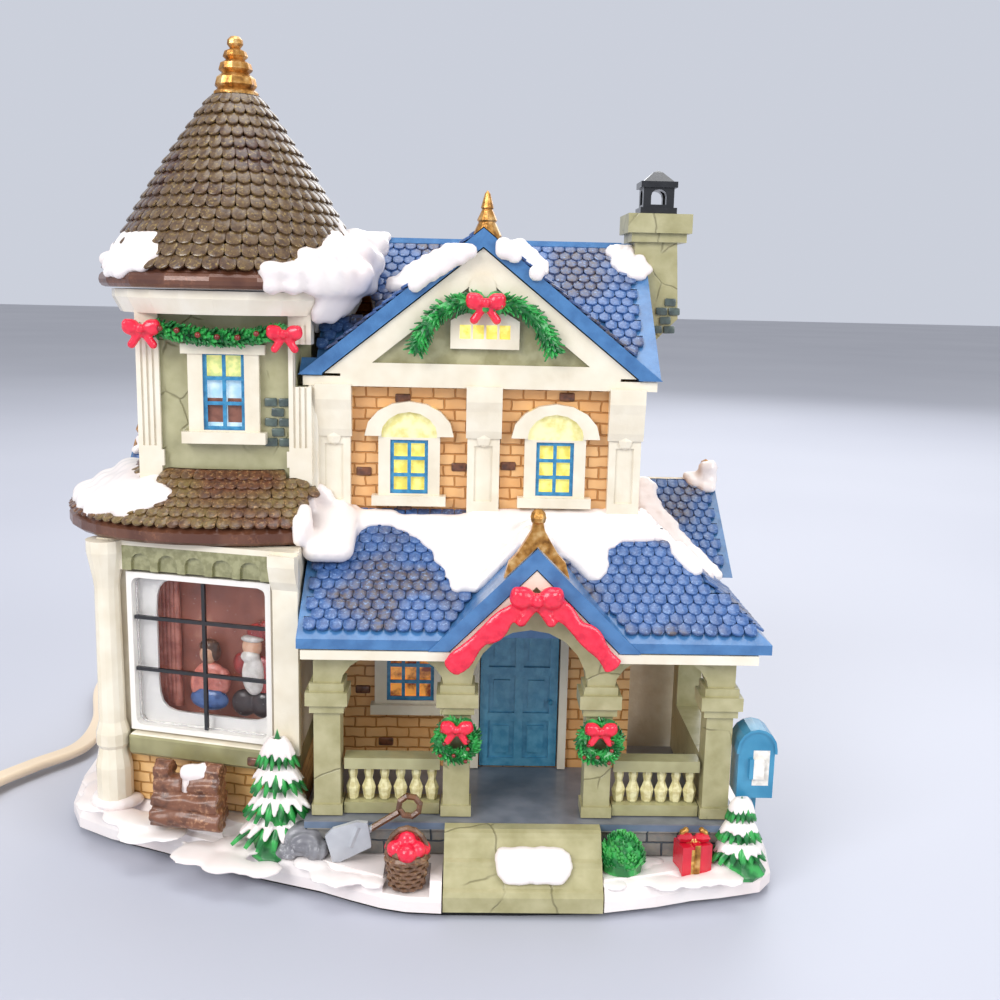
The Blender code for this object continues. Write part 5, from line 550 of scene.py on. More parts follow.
def makeCord():
    # flat twin flex: two round cores side by side under one ivory skin, with a groove between them
    s = cordSet
    path = cordPath()
    section = []
    core = s["thickness"] / 2
    for side in (1, -1):
        for step in range(9):
            angle = math.radians(-75 + 150 * step / 8) + (0 if side > 0 else math.pi)
            section.append((side * (s["width"] / 2 - core) + core * math.cos(angle), core * math.sin(angle)))
        section.append((0, (core - s["groove"] * 2) * side))
    bm = bmesh.new()
    rings = []
    for i, point in enumerate(path):
        along = wayAt(path, i)
        across = along.cross(up3).normalized()
        up = across.cross(along)
        rings.append([bm.verts.new(point + across * a + up * b) for a, b in section])
    for first, second in zip(rings, rings[1:]):
        for i in range(len(section)):
            j = (i + 1) % len(section)
            bm.faces.new((first[i], first[j], second[j], second[i]))
    bm.faces.new(list(reversed(rings[0])))
    bm.faces.new(rings[-1])
    bmesh.ops.recalc_face_normals(bm, faces=bm.faces)
    flex = newPiece("flat_cord", bm, "cordVinyl", "lamp", 60)
    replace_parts(flex, "cord_lead", "cord_coil")


makeCord()

cadFinishes = {
    "felt": ["felt_pad"], "snow": ["snow_base"], "slate": ["porch_plinth"],
    "rail": ["front_steps", "porch_arcade", "chimney_stack"],
    "brick": ["main_walls"], "towerBrick": ["tower_lower_wall"], "sage": ["tower_upper_wall"],
    "cream": ["porch_fascia", "tower_upper_columns", "door_frame"],
    "blueEdge": ["main_roof", "porch_roof"], "copperRim": ["cone_roof", "skirt_roof"],
    "gold": ["gable_finial", "tower_finial", "porch_finial"],
    "door": ["front_door"], "black": ["chimney_pot"],
    "liner": ["window_liner"], "clear": ["window_glazing"], "wire": ["window_bars"],
    "red": ["porch_ribbon"], "weave": ["apple_basket"],
    "fir": ["gable_garland", "wreath_left", "wreath_right", "pine_left", "pine_right", "boxwood"],
    "steel": ["lamp_clip"], "ivory": ["lamp_socket", "cord_grip", "plug"],
    "warmGlass": ["bulb"], "brass": ["bulb_base"],
}
for finish, names in cadFinishes.items():
    dress(finish, *names)
print("CAD nodes dressed")

tileSet = {
    "width": 3.15 * mm, "course": 3.05 * mm, "overlap": 1.35, "thickness": 0.62 * mm, "tilt": 9.0, "sway": 1.5,
    "reach": 0.5 * mm,
}


def tileTemplate():
    # one scale 1 wide and 1 long: round below, square above, its edge rolled over; top end at the origin
    bm = bmesh.new()
    disc = bmesh.ops.create_circle(bm, cap_ends=True, segments=14, radius=0.5)["verts"]
    for vert in disc:
        vert.co.x = math.copysign(min(abs(vert.co.x) * 1.16, 0.5), vert.co.x)
        if vert.co.y > 0.02:
            vert.co.x = math.copysign(0.5, vert.co.x) if abs(vert.co.x) > 0.2 else vert.co.x * 1.5
            vert.co.y = 0.5
    raised = bmesh.ops.extrude_face_region(bm, geom=bm.faces[:])["geom"]
    top = [item for item in raised if isinstance(item, bmesh.types.BMVert)]
    bmesh.ops.translate(bm, verts=top, vec=(0, 0, 0.14))
    crown = [face for face in bm.faces if all(v in top for v in face.verts)]
    bmesh.ops.inset_region(bm, faces=crown, thickness=0.09, depth=0.05)
    bmesh.ops.recalc_face_normals(bm, faces=bm.faces)
    bmesh.ops.translate(bm, verts=bm.verts, vec=(0, -0.5, 0))
    return meshFrom("tile", bm)


oneTile = tileTemplate()
templateHeight = 0.19


def tileMatrix(place, across, out, width, length, tilt):
    # a tile whose top end is at place, sized and tipped so that its lower edge lies proud of the course below
    tip = Matrix.Rotation(math.radians(-tilt), 4, "X")
    return placeMatrix(place, across, out) @ tip @ scaled(width, length, tileSet["thickness"] / templateHeight)


def tileSlope(bm, roof, origin, across, up, size, test=None):
    # courses of scales over one plane of a roof, only where that plane is what shows
    s = tileSet
    dice = random.Random(round(abs(origin[0] * 7919 + origin[1] * 104729) * 1000))
    across, up = Vector(across).normalized(), Vector(up).normalized()
    out = across.cross(up)
    origin = Vector(origin)
    for row in range(int(size[1] / s["course"]) + 1):
        offset = 0.5 if row % 2 else 0.0
        for column in range(int(size[0] / s["width"]) + 1):
            a = (column + 0.5 + offset) * s["width"]
            b = row * s["course"] + s["course"] * 0.5
            if a > size[0] - s["width"] * 0.4 or b > size[1]:
                continue
            middle = origin + across * a + up * b
            if test and not test(middle):
                continue
            near = roof.find_nearest(middle)
            if near[0] is None or near[3] > s["reach"] or near[1].dot(out) < 0.8:
                continue
            top = middle + up * s["course"] * 0.62 + out * 0.05 * mm
            turn = Matrix.Rotation(math.radians(dice.uniform(-2.5, 2.5)), 4, "Z")
            matrix = tileMatrix(top, across, out, s["width"] * 0.96, s["course"] * s["overlap"],
                                s["tilt"] + dice.uniform(-s["sway"], s["sway"]))
            stamped(bm, oneTile, matrix @ turn)


# the planes of the CAD roofs, in metres: eave ends, and how far each slope runs in and up
mainRoofSet = {
    "left": -0.0278, "right": 0.0623, "front": -0.0275, "back": 0.0515, "eave": 0.1226, "run": 39.5, "rise": 33.4,
    "gableX": 0.01725, "gableHalf": 0.04505, "gableTop": 0.1586, "gableRise": 36.0, "gableBack": 0.0124,
    "side": 3.2 * mm, "length": 0.0480, "gableLength": 0.0540,
}
porchRoofSet = {
    "left": -0.0248, "right": 0.0866, "front": -0.0570, "eave": 0.0633, "run": 34, "hipRun": 28.1, "rise": 23.7,
    "length": 0.0390, "hip": (0.0450, 0.0340),
}
baySets = {  # ends along X, middle line, half depth, ridge and eave
    "right_bay": ((0.0588, 0.088), 0.025, 0.033, 0.0895, 0.067),
    "left_bay": ((-0.0885, -0.0243), 0.0385, 0.0255, 0.096, 0.073),
}


def makeMainRoofTiles():
    s = mainRoofSet
    roof = treeOf("main_roof")
    bm = bmesh.new()
    steep, gableSteep = 0.8456, 0.7991
    wide = s["right"] - s["left"] - 2 * s["side"]

    def behindGable(p):
        return (abs(p.x - s["gableX"]) * gableSteep >= s["gableTop"] - p.z + 1.2 * mm
                or p.y >= s["gableBack"] + 0.1 * mm)

    def aboveSlope(p):
        return (p.y - s["front"]) * steep + s["eave"] < p.z + 0.4 * mm

    tileSlope(bm, roof, (s["left"] + s["side"], s["front"] + 2.0 * mm, s["eave"] + 1.7 * mm), (1, 0, 0),
              (0, s["run"], s["rise"]), (wide, s["length"]), behindGable)
    tileSlope(bm, roof, (s["right"] - s["side"], s["back"] - 2.0 * mm, s["eave"] + 1.7 * mm), (-1, 0, 0),
              (0, -s["run"], s["rise"]), (wide, s["length"]))
    for side in (-1, 1):
        rise = Vector((-side * s["gableHalf"] * 1000, 0, s["gableRise"])).normalized()
        start = Vector((s["gableX"] + side * s["gableHalf"], s["front"] + 2.4 * mm if side > 0 else s["gableBack"],
                        s["eave"])) + rise * 2.6 * mm
        tileSlope(bm, roof, start, (0, side, 0), rise, (0.0376, s["gableLength"]), aboveSlope)
    newPiece("main_roof_tiles", bm, "roofTiles")


def makePorchRoofTiles():
    s = porchRoofSet
    roof = treeOf("porch_roof")
    bm = bmesh.new()
    eave = s["eave"] + 1.5 * mm
    tileSlope(bm, roof, (s["left"] + 1.2 * mm, s["front"] + 2.2 * mm, eave), (1, 0, 0), (0, s["run"], s["rise"]),
              (s["right"] - s["left"] - 2.4 * mm, s["length"]))
    tileSlope(bm, roof, (s["right"] - 1.8 * mm, s["front"] + 1.2 * mm, eave), (0, 1, 0), (-s["hipRun"], 0, s["rise"]),
              s["hip"])
    newPiece("porch_roof_tiles", bm, "roofTiles")


def makeBayTiles():
    for name, (xs, middleY, half, ridge, eave) in baySets.items():
        roof = treeOf(name)
        bm = bmesh.new()
        for side in (-1, 1):
            rise = Vector((0, -side * half, ridge - eave)).normalized()
            across = Vector((-side, 0, 0))
            start = Vector((xs[0] if side < 0 else xs[1], middleY + side * half, eave)) + rise * 1.5 * mm
            start += across * 0.8 * mm
            size = (xs[1] - xs[0] - 1.6 * mm, Vector((half, ridge - eave)).length - 3 * mm)
            tileSlope(bm, roof, start, across, rise, size)
        newPiece(name + "_tiles", bm, "roofTiles")


coneSet = {
    "axis": (-0.046, -0.008), "top": 0.1901, "drop": 0.0437, "tip": 5.5, "flare": 27.5, "belly": 1.2,
    "courses": 15, "tilt": 12,
}


def coneRadius(share):
    return (coneSet["tip"] + coneSet["flare"] * share + coneSet["belly"] * math.sin(math.pi * share)) * mm


def makeConeTiles():
    s = coneSet
    bm = bmesh.new()
    dice = random.Random(5)
    axis = Vector((*s["axis"], 0))
    for course in range(s["courses"]):
        share = (course + 1) / s["courses"]
        upShare = max(share - 1.25 / s["courses"], 0)
        low, high = ((coneRadius(part), s["top"] - s["drop"] * part) for part in (share, upShare))
        length = math.hypot(low[0] - high[0], low[1] - high[1])
        width = (2.5 + 1.5 * share) * mm
        count = max(round(2 * math.pi * low[0] / width), 12)
        for i in range(count):
            angle = 2 * math.pi * (i + 0.5 * (course % 2)) / count
            ray = Vector((math.cos(angle), math.sin(angle), 0))
            across = Vector((-math.sin(angle), math.cos(angle), 0))
            down = (ray * (low[0] - high[0]) + Vector((0, 0, low[1] - high[1]))).normalized()
            top = axis + ray * high[0] + Vector((0, 0, high[1]))
            matrix = tileMatrix(top, across, across.cross(-down), 2 * math.pi * low[0] / count * 0.97, length * 1.02,
                                s["tilt"] + dice.uniform(-1.5, 1.5))
            stamped(bm, oneTile, matrix)
    newPiece("cone_tiles", bm, "bronzeTiles")


skirtSet = {
    "centre": (-46.5 * mm, -3.0 * mm), "half": (45.0 * mm, 42.0 * mm), "rim": 85.6 * mm, "top": 99.0 * mm,
    "topShare": 0.46, "topShift": (0.5 * mm, -5.0 * mm), "courses": 7, "tilt": 11, "steps": 720,
}


def makeSkirtTiles():
    # the skirt is a rounded square that grows rounder towards its rim, as superellipses of rising height
    s, steps = skirtSet, skirtSet["steps"]
    skirt = treeOf("skirt_roof")
    bm = bmesh.new()
    dice = random.Random(8)

    def ringPoint(share, height, angle):
        power = 2.2 + 1.6 * (1 - share)
        c, v = math.cos(angle), math.sin(angle)
        reach = (abs(c) ** power + abs(v) ** power) ** (-1 / power) * share
        drift = (1 - share) / (1 - s["topShare"])
        return Vector((s["centre"][0] + s["topShift"][0] * drift + s["half"][0] * reach * c,
                       s["centre"][1] + s["topShift"][1] * drift + s["half"][1] * reach * v, height))

    for course in range(s["courses"]):
        parts = (course / s["courses"], (course + 1.3) / s["courses"])
        (lowShare, lowZ), (highShare, highZ) = (
            (0.985 - (0.975 - s["topShare"]) * part, s["rim"] + (s["top"] - s["rim"]) * part) for part in parts)
        ring = [ringPoint(lowShare, lowZ, 2 * math.pi * i / steps) for i in range(steps + 1)]
        around = [0.0]
        for a, b in zip(ring, ring[1:]):
            around.append(around[-1] + (b - a).length)
        count = round(around[-1] / tileSet["width"])
        for i in range(count):
            target = around[-1] * (i + 0.5 * (course % 2)) / count
            k = min(next((n for n, value in enumerate(around) if value >= target), steps), steps - 1)
            foot, top = ring[k], ringPoint(highShare, highZ, 2 * math.pi * k / steps)
            across = (ring[k + 1] - ring[k]).normalized()
            out = across.cross((top - foot).normalized()).normalized()
            seen = skirt.find_nearest((foot + top) / 2)
            if seen[0] is None or seen[3] > 1.6 * mm:
                continue
            matrix = tileMatrix(top + out * 0.2 * mm, across, out, tileSet["width"] * 0.97, (top - foot).length,
                                s["tilt"] + dice.uniform(-1.5, 1.5))
            stamped(bm, oneTile, matrix)
    newPiece("skirt_tiles", bm, "copperTiles")


makeMainRoofTiles()
makePorchRoofTiles()
makeBayTiles()
makeConeTiles()
makeSkirtTiles()
print("tiles laid")

snowSet = {"grid": 5.5, "radius": 2.1 * mm, "lift": 0.8 * mm, "height": 1.5 * mm, "voxel": 0.7 * mm, "rounds": 4,
           "bulge": (1.1, 0.9)}
# outlines of the patches as the camera sees them, in a picture 1000 across
snowOutlines = {
    "coneLeft": [(112, 262), (121, 244), (130, 232), (145, 229), (160, 240), (160, 255), (148, 268), (128, 273),
                 (112, 274)],
    "roofLeft": [(303, 266), (318, 252), (338, 222), (360, 228), (386, 238), (380, 262), (362, 288), (345, 308),
                 (322, 326), (308, 330), (318, 296)],
    "gableLeft": [(388, 287), (420, 264), (450, 249), (480, 246), (470, 254), (436, 272), (400, 294), (390, 294)],
    "gableRight": [(498, 240), (520, 244), (535, 256), (548, 272), (540, 276), (522, 262), (500, 250)],
    "chimneyFoot": [(606, 250), (622, 244), (640, 256), (646, 274), (636, 280), (616, 268)],
    "skirtLeft": [(80, 507), (84, 492), (98, 474), (112, 458), (124, 466), (130, 480), (152, 482), (169, 496),
                  (160, 507), (124, 512), (92, 514)],
    "porch": [(293, 549), (298, 518), (318, 484), (330, 500), (360, 514), (420, 519), (500, 516), (600, 516),
              (642, 514), (657, 530), (652, 540), (604, 546), (600, 562), (604, 576), (592, 580), (570, 560),
              (545, 545), (520, 548), (500, 570), (478, 594), (458, 590), (446, 568), (430, 544), (402, 528),
              (372, 524), (342, 540), (318, 546)],
    "sideStrip": [(634, 478), (648, 482), (658, 508), (690, 550), (722, 577), (704, 580), (662, 544), (640, 532)],
    "sideEnd": [(682, 478), (700, 468), (716, 462), (722, 474), (718, 496), (702, 490)],
    "bayEnd": [],
    "stepPatch": [(498, 868), (502, 855), (524, 850), (560, 852), (569, 864), (560, 880), (530, 877), (508, 882)],
    "logPatch": [(182, 772), (196, 766), (210, 772), (204, 792), (190, 796)],
}
# more rounds of smoothing where the snow lies deep
snowSoftness = {"roofLeft": 24, "skirtLeft": 16, "porch": 10}
snowCarriers = ["cone_roof", "main_roof", "skirt_roof", "porch_roof", "right_bay", "left_bay", "front_steps",
                "log_pile", "tower_upper_columns", "chimney_stack", "tower_upper_wall", "main_walls", "front_trim"]


def coneBulges():
    # the drift that wraps the cone's right side, where the roofs meet
    balls = []
    for step in range(9):
        angle = math.radians(-66 + 9 * step)
        for z, radius in ((143.5, 2.6), (147.0, 3.2), (150.5, 3.2), (154.0, 2.8)):
            if z > 153 - 0.1 * abs(step - 8) or (step < 2 and z > 148):
                continue
            share = (coneSet["top"] / mm - z) / (coneSet["drop"] / mm)
            reach = 33.6 if share > 1 else coneSet["tip"] + coneSet["flare"] * share + 0.6
            balls.append((-46 + reach * math.cos(angle), -8 + reach * math.sin(angle), z, radius))
    return balls


def skirtBulges():
    # the mound on the skirt's front left corner
    (x0, y0), (halfX, halfY) = ((a / mm, b / mm) for a, b in (skirtSet["centre"], skirtSet["half"]))
    return [(x0 + halfX * reach * math.cos(math.radians(angle)), y0 + halfY * reach * math.sin(math.radians(angle)),
             skirtSet["rim"] / mm + 24.8 * (1 - reach), 4.4)
            for angle in range(192, 238, 9) for reach in (0.9, 0.78, 0.66)]


# further balls past the edge of what carries them: x, y, z and radius in millimetres
snowBulges = {
    "coneLeft": [(-74, -23, 148.4, 2.4), (-76.5, -18, 149.2, 2.4), (-74.8, -15, 152, 2.2)],
    "roofLeft": [(-15.5, -13, 152, 5.2), (-16.5, -5, 154.5, 5.2), (-19, -19, 150.5, 4.8), (-14.5, -20, 147, 4.6),
                 (-12.5, -9, 150, 4.6), (-12, -2, 154.5, 4.6), (-17, -6, 149, 4), (-16.5, 2, 151, 4),
                 (-18, -14, 148, 4), (-17.5, 9, 154, 3.4), (-20, -22, 144, 3.2), (-21, -28, 143.5, 3.0),
                 *coneBulges()],
    "skirtLeft": skirtBulges(),
    "bayEnd": [(-86, 37.4, 96.2, 2), (-82.5, 38.4, 97, 2), (-86.5, 34, 93.4, 1.8), (-84, 35.5, 94.8, 2)],
    "porch": [(x, -27 - 1.5 * step, 86 - 0.71 * step, 3.9 - 0.04 * step)
              for step in range(9) for x in (-22.4, -19.6, -16.8)],
}


def insideOutline(outline, x, y):
    inside = False
    for (x1, y1), (x2, y2) in zip(outline, outline[1:] + outline[:1]):
        if (y1 > y) != (y2 > y) and x < x1 + (y - y1) / (y2 - y1) * (x2 - x1):
            inside = not inside
    return inside


def pointsWithin(outline, step):
    # the points of a square grid that an outline holds
    xs, ys = zip(*outline)
    for row in range(math.ceil((max(ys) - min(ys)) / step)):
        for column in range(math.ceil((max(xs) - min(xs)) / step)):
            x, y = min(xs) + column * step, min(ys) + row * step
            if insideOutline(outline, x, y):
                yield x, y


def snowHeap(name, balls, voxel=snowSet["voxel"], rounds=snowSet["rounds"]):
    # overlapping flattened balls fused into one soft blanket; each is a place, a normal, a width and a height
    bm = bmesh.new()
    for place, normal, wide, high in balls:
        helper = Vector((1, 0, 0)) if abs(normal.x) < 0.8 else Vector((0, 1, 0))
        addForm(bm, bmesh.ops.create_icosphere, placeMatrix(place, helper, normal) @ scaled(wide, wide, high),
                subdivisions=2, radius=1.0)
    return fused(name, bm, "snow", voxel, rounds)


def snowPatches():
    s = snowSet
    carriers = treeOf(*snowCarriers)
    dice = random.Random(12)
    for patch, outline in snowOutlines.items():
        balls = []
        for x, y in pointsWithin(outline, s["grid"]) if outline else ():
            hit, normal = carriers.ray_cast(*cameraRay(x, y))[:2]
            if hit is not None:
                wide = s["radius"] * dice.uniform(0.9, 1.15)
                balls.append((hit + normal * s["lift"], normal, wide, s["height"] * dice.uniform(0.9, 1.2)))
        for x, y, z, radius in snowBulges.get(patch, []):
            balls.append((Vector((x, y, z)) * mm, up3, *(radius * mm * factor for factor in s["bulge"])))
        snowHeap("snow_" + patch, balls, rounds=snowSoftness.get(patch, s["rounds"]))


snowPatches()
print("snow patches laid")


def insideBox(tree, where, limits):
    # 1 where x, y and z are all between their limits in millimetres (None leaves a side free)
    mask = None
    for axis, pair in enumerate(limits):
        for end, value in enumerate(pair or ()):
            if value is None:
                continue
            part = maths(tree, "LESS_THAN" if end else "GREATER_THAN", where[axis], value * mm)
            mask = part if mask is None else maths(tree, "MULTIPLY", mask, part)
    return mask


def layeredPaint(name, base, layers, turn=None):
    # one casting in several paints: each layer is a box of space, two tones, a blotch size and the strength of a
    # painted glow, an emission that makes the layer look lit from inside (0 for none)
    material, tree, place = startMaterial(name)
    local = place
    if turn:
        moved = addNode(tree, "VectorMath", {"operation": "SUBTRACT"}, n0=place, n1=turn[0]).outputs[0]
        local = addNode(tree, "VectorRotate", {"rotation_type": "Z_AXIS"}, Vector=moved, Angle=turn[1]).outputs[0]
    where = addNode(tree, "SeparateXYZ", Vector=local).outputs
    coat = ramp(tree, noiseAt(tree, place, 7 * mm, 2), [(0.3, base[0]), (0.7, base[1])])
    paintedGlowMask = None
    for limits, tones, blotch, paintedGlow in layers:
        mask = insideBox(tree, where, limits)
        tone = ramp(tree, noiseAt(tree, place, blotch * mm, 3), [(0.4, tones[0]), (0.6, tones[1])])
        coat = mixed(tree, mask, coat, tone)
        if paintedGlow:
            part = maths(tree, "MULTIPLY", mask, paintedGlow)
            paintedGlowMask = part if paintedGlowMask is None else maths(tree, "MAXIMUM", paintedGlowMask, part)
        elif paintedGlowMask is not None:
            paintedGlowMask = maths(tree, "MULTIPLY", paintedGlowMask, maths(tree, "SUBTRACT", 1.0, mask))
    shader = painted(tree, coat, noiseAt(tree, place, 1.2 * mm, 2), 0.15 * mm, 0.45, 0.27)
    # painted light: the glowing layers emit their own colour, standing in for the bulb that lights the panes from
    # behind
    if paintedGlowMask is not None:
        tree.links.new(coat, shader.inputs["Emission Color"])
        tree.links.new(paintedGlowMask, shader.inputs["Emission Strength"])
    return material


blueTones = ("#3F93C0", "#2C7BAA")
yellowTones = ("#F3EB86", "#DCCB5A")
sageTones = ("#B3AE88", "#99946C")
bayRoofTones = ("#4172A4", "#33618F")
finialTones = ("#C08A45", "#8A5E2C")
blindTones = ("#7A4B3C", "#8E5B4A")
# the frame of the tower's front facet
facetPlace, facetAngle = (-0.0513, -0.0384, 0), math.radians(15)
# the last number of each window layer is the strength of a painted glow, an emission that makes the panes look lit
# from inside the house
for name, x in (("upper_window_left", -0.6), ("upper_window_right", 36.5)):
    dress(layeredPaint(name.replace("_", " "), creamTones, [
        (((x - 4.9, x + 4.9), (-24.75, None), (92.0, 106.3)), blueTones, 1.5, 0),
        (((x - 4.3, x + 4.3), (-24.0, None), (92.6, 105.6)), yellowTones, 3, 0.35),
        (((x - 7.0, x + 7.0), (-25.6, None), (106.6, 114.6)), ("#EFE9B0", "#D9CF84"), 3, 0.2),
    ]), name)
dress(layeredPaint("porch window", creamTones, [
    (((-6.3, 6.6), (-24.6, None), (36.4, 55.6)), blueTones, 1.5, 0),
    (((-5.8, 6.2), (-23.9, None), (37.0, 55.0)), ("#F2A94E", "#7A3C28"), 3, 0.35),
]), "porch_window")
dress(layeredPaint("attic window", creamTones, [
    (((11.0, 25.1), (-27.2, None), (131.0, 136.0)), yellowTones, 2, 0.5),
]), "attic_window")
# the tower window's pale panes get a painted glow as well
dress(layeredPaint("tower window", creamTones, [
    (((-51.2, -40.8), (-29.6, None), (108.1, 127.6)), blueTones, 1.5, 0),
    (((-50.5, -41.5), (-28.9, None), (108.8, 121.2)), ("#D5E8F0", "#A9D0E4"), 4, 0.15),
    (((-50.5, -46.6), (-28.9, None), (110.0, 116.0)), blindTones, 2, 0),
    (((-45.4, -41.5), (-28.9, None), (110.0, 116.0)), blindTones, 2, 0),
    (((-50.5, -41.5), (-28.9, None), (121.4, 127.0)), ("#F0EB9C", "#C9D58A"), 2, 0.25),
]), "tower_window")
dress(layeredPaint("front trim", creamTones, [
    ((None, (-26.4, None), (122.4, None)), sageTones, 5, 0),
]), "front_trim")
dress(layeredPaint("tower columns", creamTones, [
    (((-19.0, 20.6), (-3.5, None), (73.0, 80.2)), ("#9E9C74", "#85835C"), 2, 0),
], (facetPlace, facetAngle)), "tower_lower_columns")
for name in ("porch_rail_left", "porch_rail_right"):
    dress(layeredPaint(name.replace("_", " "), ("#B0AC82", "#98936A"), [
        ((None, None, (20.9, 28.9)), ("#EAE3B4", "#CFC48E"), 1.5, 0),
    ]), name)
dress(layeredPaint("mailbox paint", ("#4B9BC0", "#2F7FA6"), [
    (((84.6, 88.6), (None, -54.1), (27, 36)), ("#F2EEE6", "#DAD5CC"), 2, 0),
]), "mailbox")
# each bay: where its roof begins, the box of its walls, and its finial
for name, roofFrom, walls, finial in (
        ("right_bay", 66.0, ((58.7, 82.2), (-4.2, 54.2), (None, 90)), ((83.4, None), (22.0, 28.0), (86.5, None))),
        ("left_bay", 72.0, ((-84.2, -24.0), (16.8, 60.2), (None, 97)), ((None, -83.6), (35.5, 41.5), (93.0, None)))):
    dress(layeredPaint(name.replace("_", " ") + " paint", creamTones, [
        ((None, None, (roofFrom, None)), bayRoofTones, 4, 0), (walls, creamTones, 6, 0), (finial, finialTones, 1.5, 0),
    ]), name)
dress(layeredPaint("shovel paint", ("#C4C7CD", "#A9ACB3"), [
    (((-7.0, 8.0), None, None), ("#7A5236", "#5C3B26"), 1.5, 0),
]), "shovel")
dress(layeredPaint("gift paint", ("#E01C34", "#B5122A"), [
    (((69.2, 71.2), None, (None, 14.2)), ("#E2B45C", "#A87A34"), 1.5, 0),
]), "gift_box")
print("windows painted")


def leafTemplate():
    # one pressed fir leaf: a pointed lozenge, thick in the middle, its root at the origin
    bm = bmesh.new()
    bmesh.ops.create_icosphere(bm, subdivisions=1, radius=0.5)
    for vert in bm.verts:
        vert.co.y *= 1.0 if vert.co.y > 0 else 0.8
        vert.co.x *= 1 - 0.5 * max(vert.co.y, 0)
    bmesh.ops.translate(bm, verts=bm.verts, vec=(0, 0.5, 0))
    return meshFrom("leaf", bm)


oneLeaf = leafTemplate()


def leafMatrix(place, along, out, length, width, thickness):
    y = Vector(along).normalized()
    z = (Vector(out) - y * Vector(out).dot(y)).normalized()
    return basis(y.cross(z), y, z, place) @ scaled(width, length, thickness)


def leafyRope(bm, path, radius, step, seed, leaf, spread=55, leavesRound=9):
    # leaves set all round a bent stem, leaning the way it runs; a leaf is its length, width and thickness
    dice = random.Random(seed)
    points = curveThrough(path, 8)
    travelled = 0.0
    for a, b in zip(points, points[1:]):
        along = (b - a).normalized()
        travelled += (b - a).length
        if travelled < step:
            continue
        travelled = 0.0
        side = along.cross(Vector((0, -1, 0))).normalized()
        front = side.cross(along)
        for turn in range(leavesRound):
            angle = 2 * math.pi * (turn + dice.random()) / leavesRound
            out = side * math.cos(angle) + front * math.sin(angle)
            lean = math.radians(spread + dice.uniform(-14, 14))
            way = along * math.cos(lean) + out * math.sin(lean)
            stamped(bm, oneLeaf, leafMatrix(a + out * radius * 0.45, way, out, leaf[0] * dice.uniform(0.8, 1.15),
                                            leaf[1] * 2, leaf[2] * 2))


def makeBow(bm, centre, half):
    # two puffed loops, a knot and two tails, pressed nearly flat against what is behind
    x, y, z = centre
    for side in (-1, 1):
        addBall(bm, (x + side * half * 0.62, y, z + half * 0.14), (half * 0.56, half * 0.42, half * 0.5))
        addBall(bm, (x + side * half * 0.86, y - half * 0.05, z + half * 0.3), (half * 0.28, half * 0.4, half * 0.34))
        for step in range(4):
            addBall(bm, (x + side * half * (0.22 + 0.14 * step), y + half * 0.1, z - half * (0.3 + 0.2 * step)),
                    (half * 0.26, half * 0.3, half * 0.26))
    addBall(bm, (x, y - half * 0.35, z + half * 0.08), (half * 0.26, half * 0.24, half * 0.3))


greenSet = {
    "swag": [(-0.0628, -0.0316, 0.1332), (-0.0545, -0.0318, 0.1318), (-0.0464, -0.0318, 0.1308),
             (-0.0385, -0.0318, 0.1314), (-0.0310, -0.0316, 0.1326)],
    "swagLeaf": (2.2 * mm, 0.6 * mm, 0.4 * mm), "swagCore": 32, "swagBerry": 0.75 * mm, "swagBerryY": -0.0342,
    "swagBerries": [(-56, 132.6), (-46.4, 131.2), (-37, 132.2), (-60, 133), (-41.5, 131.2), (-51, 131.6)],
    # across from the peak and up, in millimetres
    "spray": [(1, 141.2), (8.5, 139.8), (14, 135.2), (17.2, 128.5)], "peakX": 0.01805, "sprayY": -0.0291,
    "sprayLeaf": (2.9 * mm, 0.45 * mm, 0.3 * mm),
    "wreaths": (("left", 0.0129, 21), ("right", 0.0471, 22)), "wreathZ": 0.038, "wreathRadius": 4.0 * mm,
    "wreathLeaf": (1.9 * mm, 0.5 * mm, 0.3 * mm), "berries": 9, "berry": 0.5 * mm,
    # x, y, z and half width in millimetres
    "bows": [(-64.6, -33.4, 132.6, 4.0), (-30.4, -33.4, 132.0, 3.8), (18.05, -30.6, 140.4, 4.3),
             (12.9, -57.2, 41.6, 3.4), (47.1, -57.2, 41.6, 3.4)],
}


